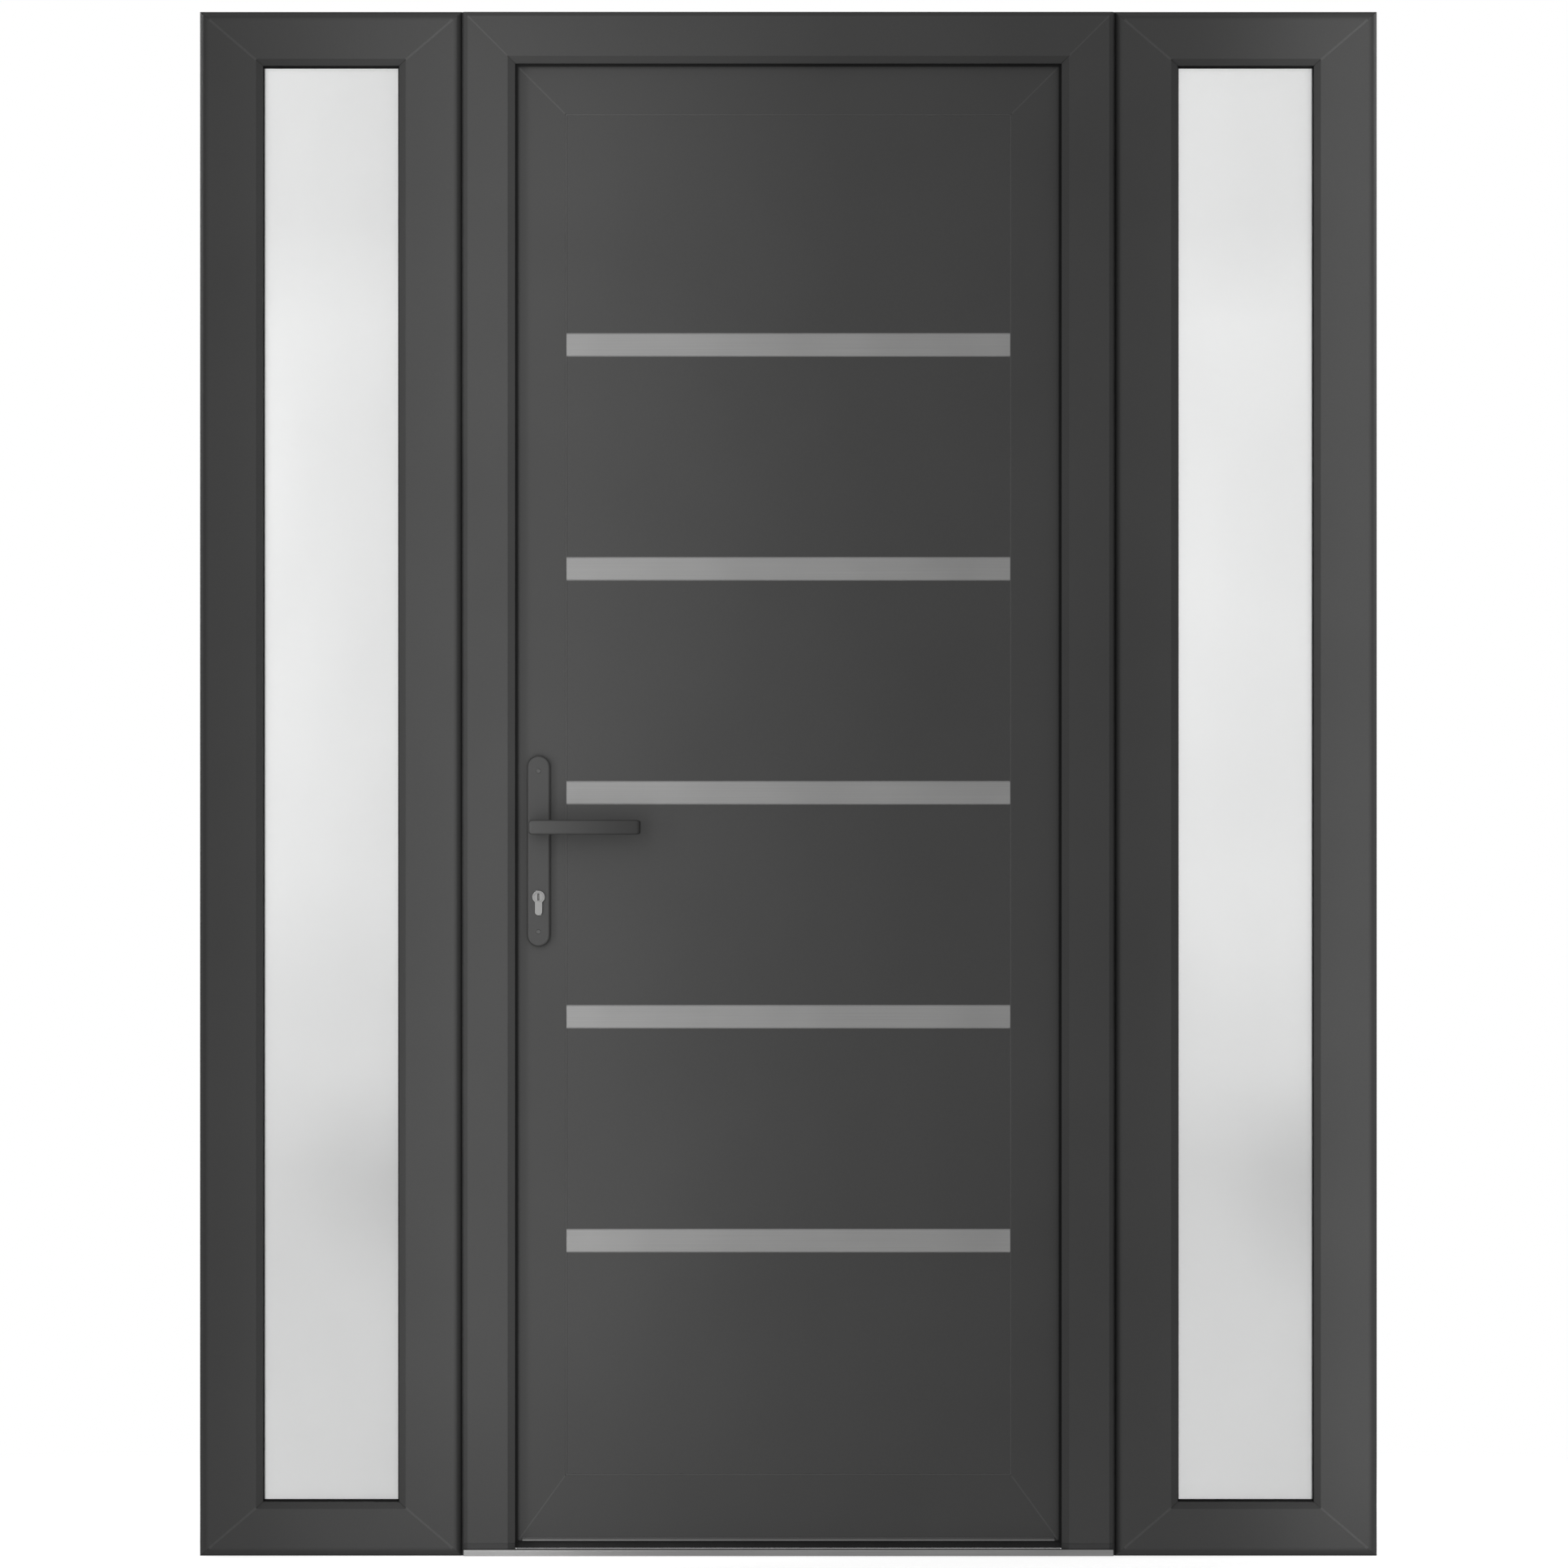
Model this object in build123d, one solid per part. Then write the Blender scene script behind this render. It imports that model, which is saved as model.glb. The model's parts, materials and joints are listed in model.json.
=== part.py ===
from build123d import *
import os

os.makedirs("parts", exist_ok=True)

# Driving dimensions in millimetres.
# The outdoor face looks towards -Y, the leaf opens indoors, towards +Y, on hinges on the +X side,
# and the bottom of the threshold is at z = 0.

# Whole unit
UNIT_HEIGHT = 2032.0
DOOR_FRAME_WIDTH = 855.0
SIDELIGHT_WIDTH = 345.0
COUPLING_WIDTH = 2.0
COUPLING_RECESS = 13.0
FRAME_DEPTH = 70.0

# Section of the door frame, measured from its outer edge
FRAME_WALL = 45.0
FRAME_FACE = 58.0
FRAME_LIP = 68.0
LIP_THICKNESS = 18.0
LIP_BEVEL_DEPTH = 9.0
FRAME_EDGE_BEVEL = 5.5
LIP_ROUND = 2.5
INDOOR_ROUND = 3.0

# Gaskets and running gaps
GASKET_THICKNESS = 4.0
GASKET_REACH = 3.5
GASKET_SEAT = 12.0
MOVING_GAP = 5.0
LEAF_EDGE_GAP = 12.0

# Threshold and the moulded feet under the jambs
NOSE_HEIGHT = 9.0
NOSE_DEPTH = 24.0
NOSE_PROJECTION = 3.0
NOSE_ROUND = 2.5
SILL_THICKNESS = 4.0
FOOT_HEIGHT = 7.4

# Leaf profiles
LEAF_DEPTH = 70.0
LEAF_FACE = 63.0
LEAF_OVERLAP = 8.0
LEAF_EDGE_ROUND = 5.0
BOTTOM_RAIL = 87.0
SEAL_HEIGHT = 10.0
SEAL_DEPTH = 10.0
SEAL_SETBACK = 8.0
DRIP_HEIGHT = 4.6
DRIP_PROJECTION = 6.0
DRIP_END_GAP = 5.5
DRIP_FRONT_HEIGHT = 2.0

# Infill panel, its inlay strips and its beads
PANEL_LIP = 10.0
PANEL_BEVEL = 1.0
PANEL_COVER = 15.0
PANEL_EDGE_GAP = 3.0
PANEL_THICKNESS = 36.0
PANEL_RECESS = 1.2
FIELD_GAP = 0.8
STRIP_COUNT = 5
STRIP_HEIGHT = 31.3
STRIP_PITCH = 295.0
STRIP_MIDDLE = 1004.3
STRIP_THICKNESS = 1.5
STRIP_BEVEL = 1.6
BEAD_SETBACK = 2.0
BEAD_BEVEL = 6.0
BEAD_MITRE_GAP = 0.4

# Section of the sidelights, measured from the outer edge
STILE_LIP = 83.0
RAIL_LIP = 71.0
SIDELIGHT_BEVEL = 9.0
SIDELIGHT_EDGE_WIDTH = 8.5
SIDELIGHT_EDGE_DEPTH = 12.0
SIDELIGHT_EDGE_ROUND = 7.0
STILE_GASKET_REACH = 1.2
RAIL_GASKET_REACH = 3.2
GLASS_COVER = 14.0
GLASS_EDGE_GAP = 5.0
PANE_THICKNESS = 4.0
GLASS_CAVITY = 16.0
SPACER_WIDTH = 8.0
FIXING_HOLE_RADIUS = 5.0
FIXING_END = 150.0
FIXING_COUNT = 4

# Lever handle and lock
LOCK_BACKSET = 41.5
LEVER_Z = 959.0
LOCK_CENTRES = 92.0
PLATE_WIDTH = 30.5
PLATE_HEIGHT = 251.5
PLATE_THICKNESS = 10.0
PLATE_TOP_ABOVE_LEVER = 94.2
PLATE_ROUND = 3.0
LEVER_HEIGHT = 19.5
LEVER_REACH = 134.5
LEVER_HEEL = 13.0
LEVER_STANDOFF = 42.0
LEVER_THICKNESS = 12.0
LEVER_TIP_THICKNESS = 9.0
LEVER_BOW = 13.0
LEVER_TIP_ROUND = 6.0
LEVER_ROUND = 3.0
NECK_RADIUS = 8.7
NECK_CLEARANCE = 0.3
SPINDLE_SIDE = 8.0
SPINDLE_GRIP = 18.0
SPINDLE_HOLE_RADIUS = 10.0
CYLINDER_RADIUS = 8.5
CYLINDER_HEIGHT = 33.0
CYLINDER_STEM = 10.0
CYLINDER_PROUD = 3.0
CYLINDER_CLEARANCE = 0.3
KEYWAY_WIDTH = 2.2
KEYWAY_HEIGHT = 9.0
KEYWAY_DEPTH = 10.0
FACEPLATE_WIDTH = 20.0
FACEPLATE_LENGTH = 1700.0
FACEPLATE_THICKNESS = 2.5
LATCH_WIDTH = 13.0
LATCH_HEIGHT = 32.0
LATCH_PROUD = 3.0
STRIKE_WIDTH = 22.0
STRIKE_THICKNESS = 2.0
STRIKE_HEIGHT = 170.0
STRIKE_OFFSET = 640.0
STRIKE_SLOT_WIDTH = 15.0
STRIKE_SLOT_HEIGHT = 60.0
STRIKE_POCKET = 12.0

# Hinges
HINGE_COUNT = 3
HINGE_END = 240.0
HINGE_HEIGHT = 50.0
HINGE_AXIS_FROM_EDGE = 26.0
HINGE_AXIS_PROUD = 8.0
KNUCKLE_RADIUS = 8.0
PIN_RADIUS = 5.0
PIN_CLEARANCE = 0.05
KNUCKLE_GAP = 0.5
HINGE_PLATE = 4.0
HINGE_WEB_INNER = 31.0
HINGE_WEB_OUTER = 14.0
HINGE_PLATE_OUTER = 5.0
HINGE_LEAF_REACH = 82.0

# Places that follow from the sizes above
half_frame = DOOR_FRAME_WIDTH / 2
front = -FRAME_DEPTH / 2
back = FRAME_DEPTH / 2
lip_back = front + LIP_THICKNESS
gasket_back = lip_back + GASKET_THICKNESS
clear_edge = FRAME_LIP + GASKET_REACH
leaf_edge = FRAME_WALL + LEAF_EDGE_GAP
overlap_edge = FRAME_WALL - LEAF_OVERLAP
panel_edge = clear_edge + LEAF_FACE
panel_floor = panel_edge - PANEL_COVER - PANEL_EDGE_GAP
leaf_front = gasket_back + MOVING_GAP
leaf_back = leaf_front + LEAF_DEPTH
leaf_gasket_front = back + MOVING_GAP
overlap_front = leaf_gasket_front + GASKET_THICKNESS
panel_seat = leaf_front + PANEL_LIP
panel_back = panel_seat + PANEL_THICKNESS
field_front = leaf_front + PANEL_RECESS
leaf_bottom = SILL_THICKNESS + MOVING_GAP + SEAL_HEIGHT
panel_bottom = leaf_bottom + BOTTOM_RAIL
panel_top = UNIT_HEIGHT - panel_edge
panel_half = half_frame - panel_edge
nose_front = front - NOSE_PROJECTION
nose_back = nose_front + NOSE_DEPTH
foot_top = NOSE_HEIGHT + FOOT_HEIGHT
handle_x = leaf_edge - half_frame + LOCK_BACKSET
cylinder_z = LEVER_Z - LOCK_CENTRES
lock_depth = (leaf_front + overlap_front) / 2
SIDES = {"left": -1, "right": 1}


def outline(points):
    """A flat face inside a closed run of lines, where a third number rounds that corner."""
    corners = [point[:2] for point in points]
    radii = [sum(point[2:]) for point in points]
    return make_face(FilletPolyline(*corners, radius=radii, close=True))


def upright(points, bottom, top):
    """A bar along Z with a section in (x, y)."""
    return extrude(Plane.XY.offset(bottom) * outline(points), top - bottom)


def crossbar(points, left, right):
    """A bar along X with a section in (y, z)."""
    return extrude(Plane.YZ.offset(left) * outline(points), right - left)


def slab(points, face, rear):
    """A plate along Y with an outline in (x, z)."""
    return extrude(Plane.XZ.offset(-rear) * outline(points), rear - face)


def block(x_range, y_range, z_range):
    """A box between three pairs of limits."""
    low = (x_range[0], y_range[0], z_range[0])
    size = (x_range[1] - x_range[0], y_range[1] - y_range[0], z_range[1] - z_range[0])
    return Pos(*low) * Box(*size, align=(Align.MIN, Align.MIN, Align.MIN))


def rod(radius, centre, bottom, top):
    """A round bar along Z."""
    return Pos(centre[0], centre[1], bottom) * Cylinder(
        radius, top - bottom, align=(Align.CENTER, Align.CENTER, Align.MIN)
    )


def bar_along_y(face, near, far):
    """A bar along Y with a section drawn in (x, z)."""
    return extrude(Plane.XZ.offset(-far) * face, far - near)


def ring(x_range, z_range, member, y_range):
    """A rectangular ring of one member width, lying in the plane of the wall."""
    outer = block(x_range, y_range, z_range)
    hole_x = (x_range[0] + member, x_range[1] - member)
    hole_z = (z_range[0] + member, z_range[1] - member)
    return outer - block(hole_x, y_range, hole_z)


def side_x(side, from_edge):
    """Signed x of a line at a distance inwards from the door frame's outer edge."""
    return side * (half_frame - from_edge)


def save(name, *solids):
    """Writes one named piece, or a set of like pieces."""
    shape = solids[0] if len(solids) == 1 else Compound(children=list(solids))
    export_step(shape, f"parts/{name}.step")


# Door frame: two jambs and a head of one profile, mitred at the top corners
def frame_section():
    """The frame profile as (distance from the outer edge, depth, corner radius)."""
    return [
        (0, front + FRAME_EDGE_BEVEL),
        (FRAME_EDGE_BEVEL, front),
        (FRAME_FACE, front),
        (FRAME_LIP, front + LIP_BEVEL_DEPTH, LIP_ROUND),
        (FRAME_LIP, lip_back),
        (FRAME_WALL, lip_back),
        (FRAME_WALL, back, INDOOR_ROUND),
        (0, back),
    ]


def jamb_bar(side, bottom, top):
    return upright([(side_x(side, u), y, *r) for u, y, *r in frame_section()], bottom, top)


def jamb(side):
    wedge = slab(
        [
            (side_x(side, 0), foot_top),
            (side_x(side, FRAME_LIP), foot_top),
            (side_x(side, FRAME_LIP), UNIT_HEIGHT - FRAME_LIP),
            (side_x(side, 0), UNIT_HEIGHT),
        ],
        front,
        back,
    )
    return jamb_bar(side, foot_top, UNIT_HEIGHT) & wedge


def door_head():
    bar = crossbar([(y, UNIT_HEIGHT - u, *r) for u, y, *r in frame_section()], -half_frame, half_frame)
    wedge = slab(
        [
            (side_x(-1, 0), UNIT_HEIGHT),
            (side_x(-1, FRAME_LIP), UNIT_HEIGHT - FRAME_LIP),
            (side_x(1, FRAME_LIP), UNIT_HEIGHT - FRAME_LIP),
            (side_x(1, 0), UNIT_HEIGHT),
        ],
        front,
        back,
    )
    return bar & wedge


def frame_gasket():
    """One strip behind the lip of both jambs and the head, with its nose past the lip edge."""
    seat = FRAME_LIP - GASKET_SEAT
    outer = block(
        (side_x(-1, seat), side_x(1, seat)), (lip_back, gasket_back), (foot_top, UNIT_HEIGHT - seat)
    )
    inner = block(
        (side_x(-1, clear_edge), side_x(1, clear_edge)),
        (lip_back, gasket_back),
        (foot_top, UNIT_HEIGHT - clear_edge),
    )
    return outer - inner


# Threshold: an aluminium nose in front of a flat sill, with a moulded foot under each jamb
def threshold_nose():
    section = [
        (nose_front, 0),
        (nose_back, 0),
        (nose_back, NOSE_HEIGHT),
        (nose_front, NOSE_HEIGHT, NOSE_ROUND),
    ]
    return crossbar(section, -half_frame, half_frame)


def threshold_sill():
    return block((-half_frame, half_frame), (nose_back, back), (0, SILL_THICKNESS))


def jamb_foot(side):
    return jamb_bar(side, 0, foot_top) - threshold_nose() - threshold_sill()


# Strikes: flush plates in the latch jamb, with a pocket behind each slot
strike_places = [LEVER_Z - STRIKE_OFFSET, LEVER_Z, LEVER_Z + STRIKE_OFFSET]
strike_face = side_x(-1, FRAME_WALL)


def strike_block(width, height, depth, z):
    return block(
        (strike_face - depth, strike_face),
        (lock_depth - width / 2, lock_depth + width / 2),
        (z - height / 2, z + height / 2),
    )


def strike_plate(z):
    plate = strike_block(STRIKE_WIDTH, STRIKE_HEIGHT, STRIKE_THICKNESS, z)
    return plate - strike_block(STRIKE_SLOT_WIDTH, STRIKE_SLOT_HEIGHT, STRIKE_THICKNESS, z)


def latch_jamb():
    shape = jamb(-1)
    for z in strike_places:
        shape -= strike_block(STRIKE_WIDTH, STRIKE_HEIGHT, STRIKE_THICKNESS, z)
        shape -= strike_block(STRIKE_SLOT_WIDTH, STRIKE_SLOT_HEIGHT, STRIKE_POCKET, z)
    return shape


# Leaf: two stiles and two rails, mitred at the panel corners
def leaf_section():
    """The stile and top rail profile as (distance from the frame's outer edge, depth, corner radius)."""
    return [
        (leaf_edge, leaf_front),
        (panel_edge - PANEL_BEVEL, leaf_front),
        (panel_edge, leaf_front + PANEL_BEVEL),
        (panel_edge, panel_seat),
        (panel_floor, panel_seat),
        (panel_floor, leaf_back),
        (overlap_edge, leaf_back, LEAF_EDGE_ROUND),
        (overlap_edge, overlap_front),
        (leaf_edge, overlap_front),
    ]


def leaf_stile(side):
    bar = upright([(side_x(side, u), y, *r) for u, y, *r in leaf_section()], leaf_bottom, UNIT_HEIGHT)
    wedge = slab(
        [
            (side_x(side, overlap_edge), leaf_bottom),
            (side_x(side, clear_edge), leaf_bottom),
            (side_x(side, panel_edge), panel_bottom),
            (side_x(side, panel_edge), panel_top),
            (side_x(side, overlap_edge), UNIT_HEIGHT - overlap_edge),
        ],
        leaf_front,
        leaf_back,
    )
    return bar & wedge


def leaf_top_rail():
    bar = crossbar([(y, UNIT_HEIGHT - u, *r) for u, y, *r in leaf_section()], -half_frame, half_frame)
    wedge = slab(
        [
            (side_x(-1, overlap_edge), UNIT_HEIGHT - overlap_edge),
            (side_x(-1, panel_edge), panel_top),
            (side_x(1, panel_edge), panel_top),
            (side_x(1, overlap_edge), UNIT_HEIGHT - overlap_edge),
        ],
        leaf_front,
        leaf_back,
    )
    return bar & wedge


def leaf_bottom_rail():
    floor = panel_bottom - PANEL_COVER - PANEL_EDGE_GAP
    section = [
        (leaf_front, leaf_bottom),
        (leaf_front, panel_bottom - PANEL_BEVEL),
        (leaf_front + PANEL_BEVEL, panel_bottom),
        (panel_seat, panel_bottom),
        (panel_seat, floor),
        (leaf_back, floor),
        (leaf_back, leaf_bottom),
    ]
    wedge = slab(
        [
            (side_x(-1, clear_edge), leaf_bottom),
            (side_x(1, clear_edge), leaf_bottom),
            (side_x(1, panel_edge), panel_bottom),
            (side_x(-1, panel_edge), panel_bottom),
        ],
        leaf_front,
        leaf_back,
    )
    return crossbar(section, -half_frame, half_frame) & wedge


def leaf_gasket():
    """One strip on the frame side of the overlap, along both stiles and the top rail."""
    outer = block(
        (side_x(-1, overlap_edge), side_x(1, overlap_edge)),
        (leaf_gasket_front, overlap_front),
        (leaf_bottom, UNIT_HEIGHT - overlap_edge),
    )
    inner = block(
        (side_x(-1, overlap_edge + GASKET_SEAT), side_x(1, overlap_edge + GASKET_SEAT)),
        (leaf_gasket_front, overlap_front),
        (leaf_bottom, UNIT_HEIGHT - overlap_edge - GASKET_SEAT),
    )
    return outer - inner


def bottom_seal():
    seal_front = leaf_front + SEAL_SETBACK
    return block(
        (side_x(-1, leaf_edge), side_x(1, leaf_edge)),
        (seal_front, seal_front + SEAL_DEPTH),
        (leaf_bottom - SEAL_HEIGHT, leaf_bottom),
    )


def drip_bar():
    drip_front = leaf_front - DRIP_PROJECTION
    section = [
        (leaf_front, leaf_bottom),
        (drip_front, leaf_bottom),
        (drip_front, leaf_bottom + DRIP_FRONT_HEIGHT),
        (leaf_front, leaf_bottom + DRIP_HEIGHT),
    ]
    end = clear_edge + DRIP_END_GAP
    return crossbar(section, side_x(-1, end), side_x(1, end))


# Infill: a thick panel with a raised outdoor field, inlay strips on both faces and indoor beads
def door_panel():
    core = block(
        (-panel_half - PANEL_COVER, panel_half + PANEL_COVER),
        (panel_seat, panel_back),
        (panel_bottom - PANEL_COVER, panel_top + PANEL_COVER),
    )
    field = block(
        (FIELD_GAP - panel_half, panel_half - FIELD_GAP),
        (field_front, panel_seat),
        (panel_bottom + FIELD_GAP, panel_top - FIELD_GAP),
    )
    return core + field


strip_places = [STRIP_MIDDLE + STRIP_PITCH * (i - (STRIP_COUNT - 1) / 2) for i in range(STRIP_COUNT)]


def inlay_strip(seat, away, z):
    """A flat metal strip on a panel face, with its long edges bevelled on the side away from it."""
    half = STRIP_HEIGHT / 2
    face = seat + away * STRIP_THICKNESS
    section = [
        (seat, z - half),
        (face, z - half + STRIP_BEVEL),
        (face, z + half - STRIP_BEVEL),
        (seat, z + half),
    ]
    return crossbar(section, FIELD_GAP - panel_half, panel_half - FIELD_GAP)


def mitred_beads(x_range, z_range, stile, rail, seat, rear):
    """Four bevelled bars around an opening, just clear of each other at the mitres."""

    def section(width):
        bevel = [(width, rear - BEAD_BEVEL), (width - BEAD_BEVEL, rear)]
        return [(0, seat), (width, seat), *bevel, (0, rear)]

    bars = []
    gap = BEAD_MITRE_GAP
    left, right = x_range
    bottom, top = z_range
    for side, edge in ((1, left), (-1, right)):
        bar = upright([(edge + side * u, y) for u, y in section(stile)], bottom, top)
        wedge = slab(
            [
                (edge, bottom + gap),
                (edge + side * stile, bottom + rail + gap),
                (edge + side * stile, top - rail - gap),
                (edge, top - gap),
            ],
            seat,
            rear,
        )
        bars.append(bar & wedge)
    for side, edge in ((1, bottom), (-1, top)):
        bar = crossbar([(y, edge + side * u) for u, y in section(rail)], left, right)
        wedge = slab(
            [
                (left, edge),
                (left + stile, edge + side * rail),
                (right - stile, edge + side * rail),
                (right, edge),
            ],
            seat,
            rear,
        )
        bars.append(bar & wedge)
    return bars


# Handle: long plates on both faces, a sprung lever on each end of one square spindle
plate_top = LEVER_Z + PLATE_TOP_ABOVE_LEVER
plate_middle = plate_top - PLATE_HEIGHT / 2
leaf_middle = (leaf_front + leaf_back) / 2
mid_plane = Plane.XZ.offset(-leaf_middle)
spindle = block(
    (handle_x - SPINDLE_SIDE / 2, handle_x + SPINDLE_SIDE / 2),
    (leaf_front - SPINDLE_GRIP, leaf_back + SPINDLE_GRIP),
    (LEVER_Z - SPINDLE_SIDE / 2, LEVER_Z + SPINDLE_SIDE / 2),
)


def cylinder_profile(clearance):
    """The lock cylinder's section: a round plug housing over a narrow stem."""
    stem_bottom = cylinder_z + CYLINDER_RADIUS - CYLINDER_HEIGHT + CYLINDER_STEM / 2
    housing = Pos(handle_x, cylinder_z) * Circle(CYLINDER_RADIUS + clearance)
    stem = Pos(handle_x, (cylinder_z + stem_bottom) / 2) * Rectangle(
        CYLINDER_STEM + 2 * clearance, cylinder_z - stem_bottom
    )
    heel = Pos(handle_x, stem_bottom) * Circle(CYLINDER_STEM / 2 + clearance)
    return housing + stem + heel


def lock_cylinder():
    near = leaf_front - PLATE_THICKNESS - CYLINDER_PROUD
    far = leaf_back + PLATE_THICKNESS + CYLINDER_PROUD
    shape = bar_along_y(cylinder_profile(0), near, far)
    keyway = Pos(handle_x, cylinder_z) * Rectangle(KEYWAY_WIDTH, KEYWAY_HEIGHT)
    shape -= bar_along_y(keyway, near, near + KEYWAY_DEPTH)
    return shape - bar_along_y(keyway, far - KEYWAY_DEPTH, far)


def outside_plate():
    near = leaf_front - PLATE_THICKNESS
    face = Pos(handle_x, plate_middle) * SlotOverall(PLATE_HEIGHT, PLATE_WIDTH, rotation=90)
    plate = bar_along_y(face, near, leaf_front)
    plate = fillet(plate.faces().sort_by(Axis.Y)[0].edges(), PLATE_ROUND)
    bore = Pos(handle_x, LEVER_Z) * Circle(NECK_RADIUS + NECK_CLEARANCE)
    plate -= bar_along_y(bore, near, leaf_front)
    return plate - bar_along_y(cylinder_profile(CYLINDER_CLEARANCE), near, leaf_front)


def outside_lever():
    """A bowed bar on a round neck, seen from above as (x, y) and pulled out to its height."""

    def point(along, away):
        return (handle_x + along, leaf_front - away)

    def bowed(start, drop):
        """An arc from the heel to the tip that falls back towards the leaf by drop."""
        run = LEVER_HEEL + LEVER_REACH
        radius = (run**2 + drop**2) / (2 * drop)
        middle = (radius**2 - (run / 2) ** 2) ** 0.5 - radius
        return ThreePointArc(
            point(-LEVER_HEEL, start),
            point(run / 2 - LEVER_HEEL, start + middle),
            point(LEVER_REACH, start - drop),
        )

    front_arc = bowed(LEVER_STANDOFF + LEVER_THICKNESS, LEVER_BOW)
    back_arc = bowed(LEVER_STANDOFF, LEVER_BOW + LEVER_TIP_THICKNESS - LEVER_THICKNESS)
    ends = [Line(front_arc @ 0, back_arc @ 0), Line(front_arc @ 1, back_arc @ 1)]
    profile = make_face([front_arc, back_arc, *ends])
    bar = extrude(Plane.XY.offset(LEVER_Z - LEVER_HEIGHT / 2) * profile, LEVER_HEIGHT)
    uprights = bar.edges().filter_by(Axis.Z)
    tip_x, tip_y = point(LEVER_REACH, LEVER_STANDOFF + LEVER_THICKNESS - LEVER_BOW)
    tip = uprights.sort_by_distance((tip_x, tip_y, LEVER_Z))[0]
    bar = fillet(tip, LEVER_TIP_ROUND)
    bar = fillet(bar.faces().filter_by(Axis.Z).edges(), LEVER_ROUND)
    neck_face = Pos(handle_x, LEVER_Z) * Circle(NECK_RADIUS)
    neck = bar_along_y(
        neck_face, leaf_front - LEVER_STANDOFF - LEVER_THICKNESS / 2, leaf_front - NECK_CLEARANCE
    )
    return bar + neck - spindle


def latch_stile():
    shape = leaf_stile(-1)
    bore = Pos(handle_x, LEVER_Z) * Circle(SPINDLE_HOLE_RADIUS)
    shape -= bar_along_y(bore, leaf_front, leaf_back)
    shape -= bar_along_y(cylinder_profile(CYLINDER_CLEARANCE), leaf_front, leaf_back)
    return shape - faceplate_blank()


def faceplate_blank():
    edge = side_x(-1, leaf_edge)
    return block(
        (edge, edge + FACEPLATE_THICKNESS),
        (lock_depth - FACEPLATE_WIDTH / 2, lock_depth + FACEPLATE_WIDTH / 2),
        (LEVER_Z - FACEPLATE_LENGTH / 2, LEVER_Z + FACEPLATE_LENGTH / 2),
    )


def latch_bolt():
    """The sprung bolt's nose, bevelled on the side that meets the strike as the leaf shuts."""
    edge = side_x(-1, leaf_edge)
    section = [
        (edge, lock_depth - LATCH_WIDTH / 2),
        (edge, lock_depth + LATCH_WIDTH / 2),
        (edge - LATCH_PROUD, lock_depth + LATCH_WIDTH / 2 - LATCH_PROUD),
        (edge - LATCH_PROUD, lock_depth - LATCH_WIDTH / 2),
    ]
    return upright(section, LEVER_Z - LATCH_HEIGHT / 2, LEVER_Z + LATCH_HEIGHT / 2)


# Hinges: a lower knuckle with the pin on the frame and an upper knuckle on the leaf
hinge_axis = (side_x(1, HINGE_AXIS_FROM_EDGE), leaf_back + HINGE_AXIS_PROUD)
hinge_low = leaf_bottom + HINGE_END
hinge_high = UNIT_HEIGHT - overlap_edge - HINGE_END
hinge_places = [
    hinge_low + (hinge_high - hinge_low) * i / (HINGE_COUNT - 1) for i in range(HINGE_COUNT)
]


def hinge_frame_half(z):
    bottom = z - HINGE_HEIGHT
    plate = block(
        (side_x(1, HINGE_WEB_INNER), side_x(1, HINGE_PLATE_OUTER)), (back, back + HINGE_PLATE), (bottom, z)
    )
    web = block(
        (side_x(1, HINGE_WEB_INNER), side_x(1, HINGE_WEB_OUTER)), (back, hinge_axis[1]), (bottom, z)
    )
    pin = rod(PIN_RADIUS, hinge_axis, bottom, z + HINGE_HEIGHT)
    return plate + web + rod(KNUCKLE_RADIUS, hinge_axis, bottom, z) + pin


def hinge_leaf_half(z):
    bottom = z + KNUCKLE_GAP
    top = z + HINGE_HEIGHT
    plate = block(
        (side_x(1, HINGE_LEAF_REACH), hinge_axis[0]), (leaf_back, leaf_back + HINGE_PLATE), (bottom, top)
    )
    knuckle = rod(KNUCKLE_RADIUS, hinge_axis, bottom, top)
    return plate + knuckle - rod(PIN_RADIUS + PIN_CLEARANCE, hinge_axis, bottom, top)


# Sidelights: a mitred frame with an edge-sealed double pane, held by beads indoors
glass_front = lip_back + GASKET_THICKNESS
glass_back = glass_front + 2 * PANE_THICKNESS + GLASS_CAVITY
sidelight_inner = half_frame + COUPLING_WIDTH
sidelight_outer = sidelight_inner + SIDELIGHT_WIDTH


def sidelight_section(lip):
    """A sidelight profile as (distance from its outer edge, depth, corner radius)."""
    floor = lip - GLASS_COVER - GLASS_EDGE_GAP
    return [
        (0, front + SIDELIGHT_EDGE_DEPTH),
        (SIDELIGHT_EDGE_WIDTH, front, SIDELIGHT_EDGE_ROUND),
        (lip - SIDELIGHT_BEVEL, front),
        (lip, front + LIP_BEVEL_DEPTH, LIP_ROUND),
        (lip, lip_back),
        (floor, lip_back),
        (floor, back),
        (0, back),
    ]


def sidelight_stile(edge, inward):
    section = [(edge + inward * u, y, *r) for u, y, *r in sidelight_section(STILE_LIP)]
    bar = upright(section, 0, UNIT_HEIGHT)
    wedge = slab(
        [
            (edge, 0),
            (edge + inward * STILE_LIP, RAIL_LIP),
            (edge + inward * STILE_LIP, UNIT_HEIGHT - RAIL_LIP),
            (edge, UNIT_HEIGHT),
        ],
        front,
        back,
    )
    return bar & wedge


def sidelight_rail(left, right, edge, inward):
    section = [(y, edge + inward * u, *r) for u, y, *r in sidelight_section(RAIL_LIP)]
    bar = crossbar(section, left, right)
    wedge = slab(
        [
            (left, edge),
            (left + STILE_LIP, edge + inward * RAIL_LIP),
            (right - STILE_LIP, edge + inward * RAIL_LIP),
            (right, edge),
        ],
        front,
        back,
    )
    return bar & wedge


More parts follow.
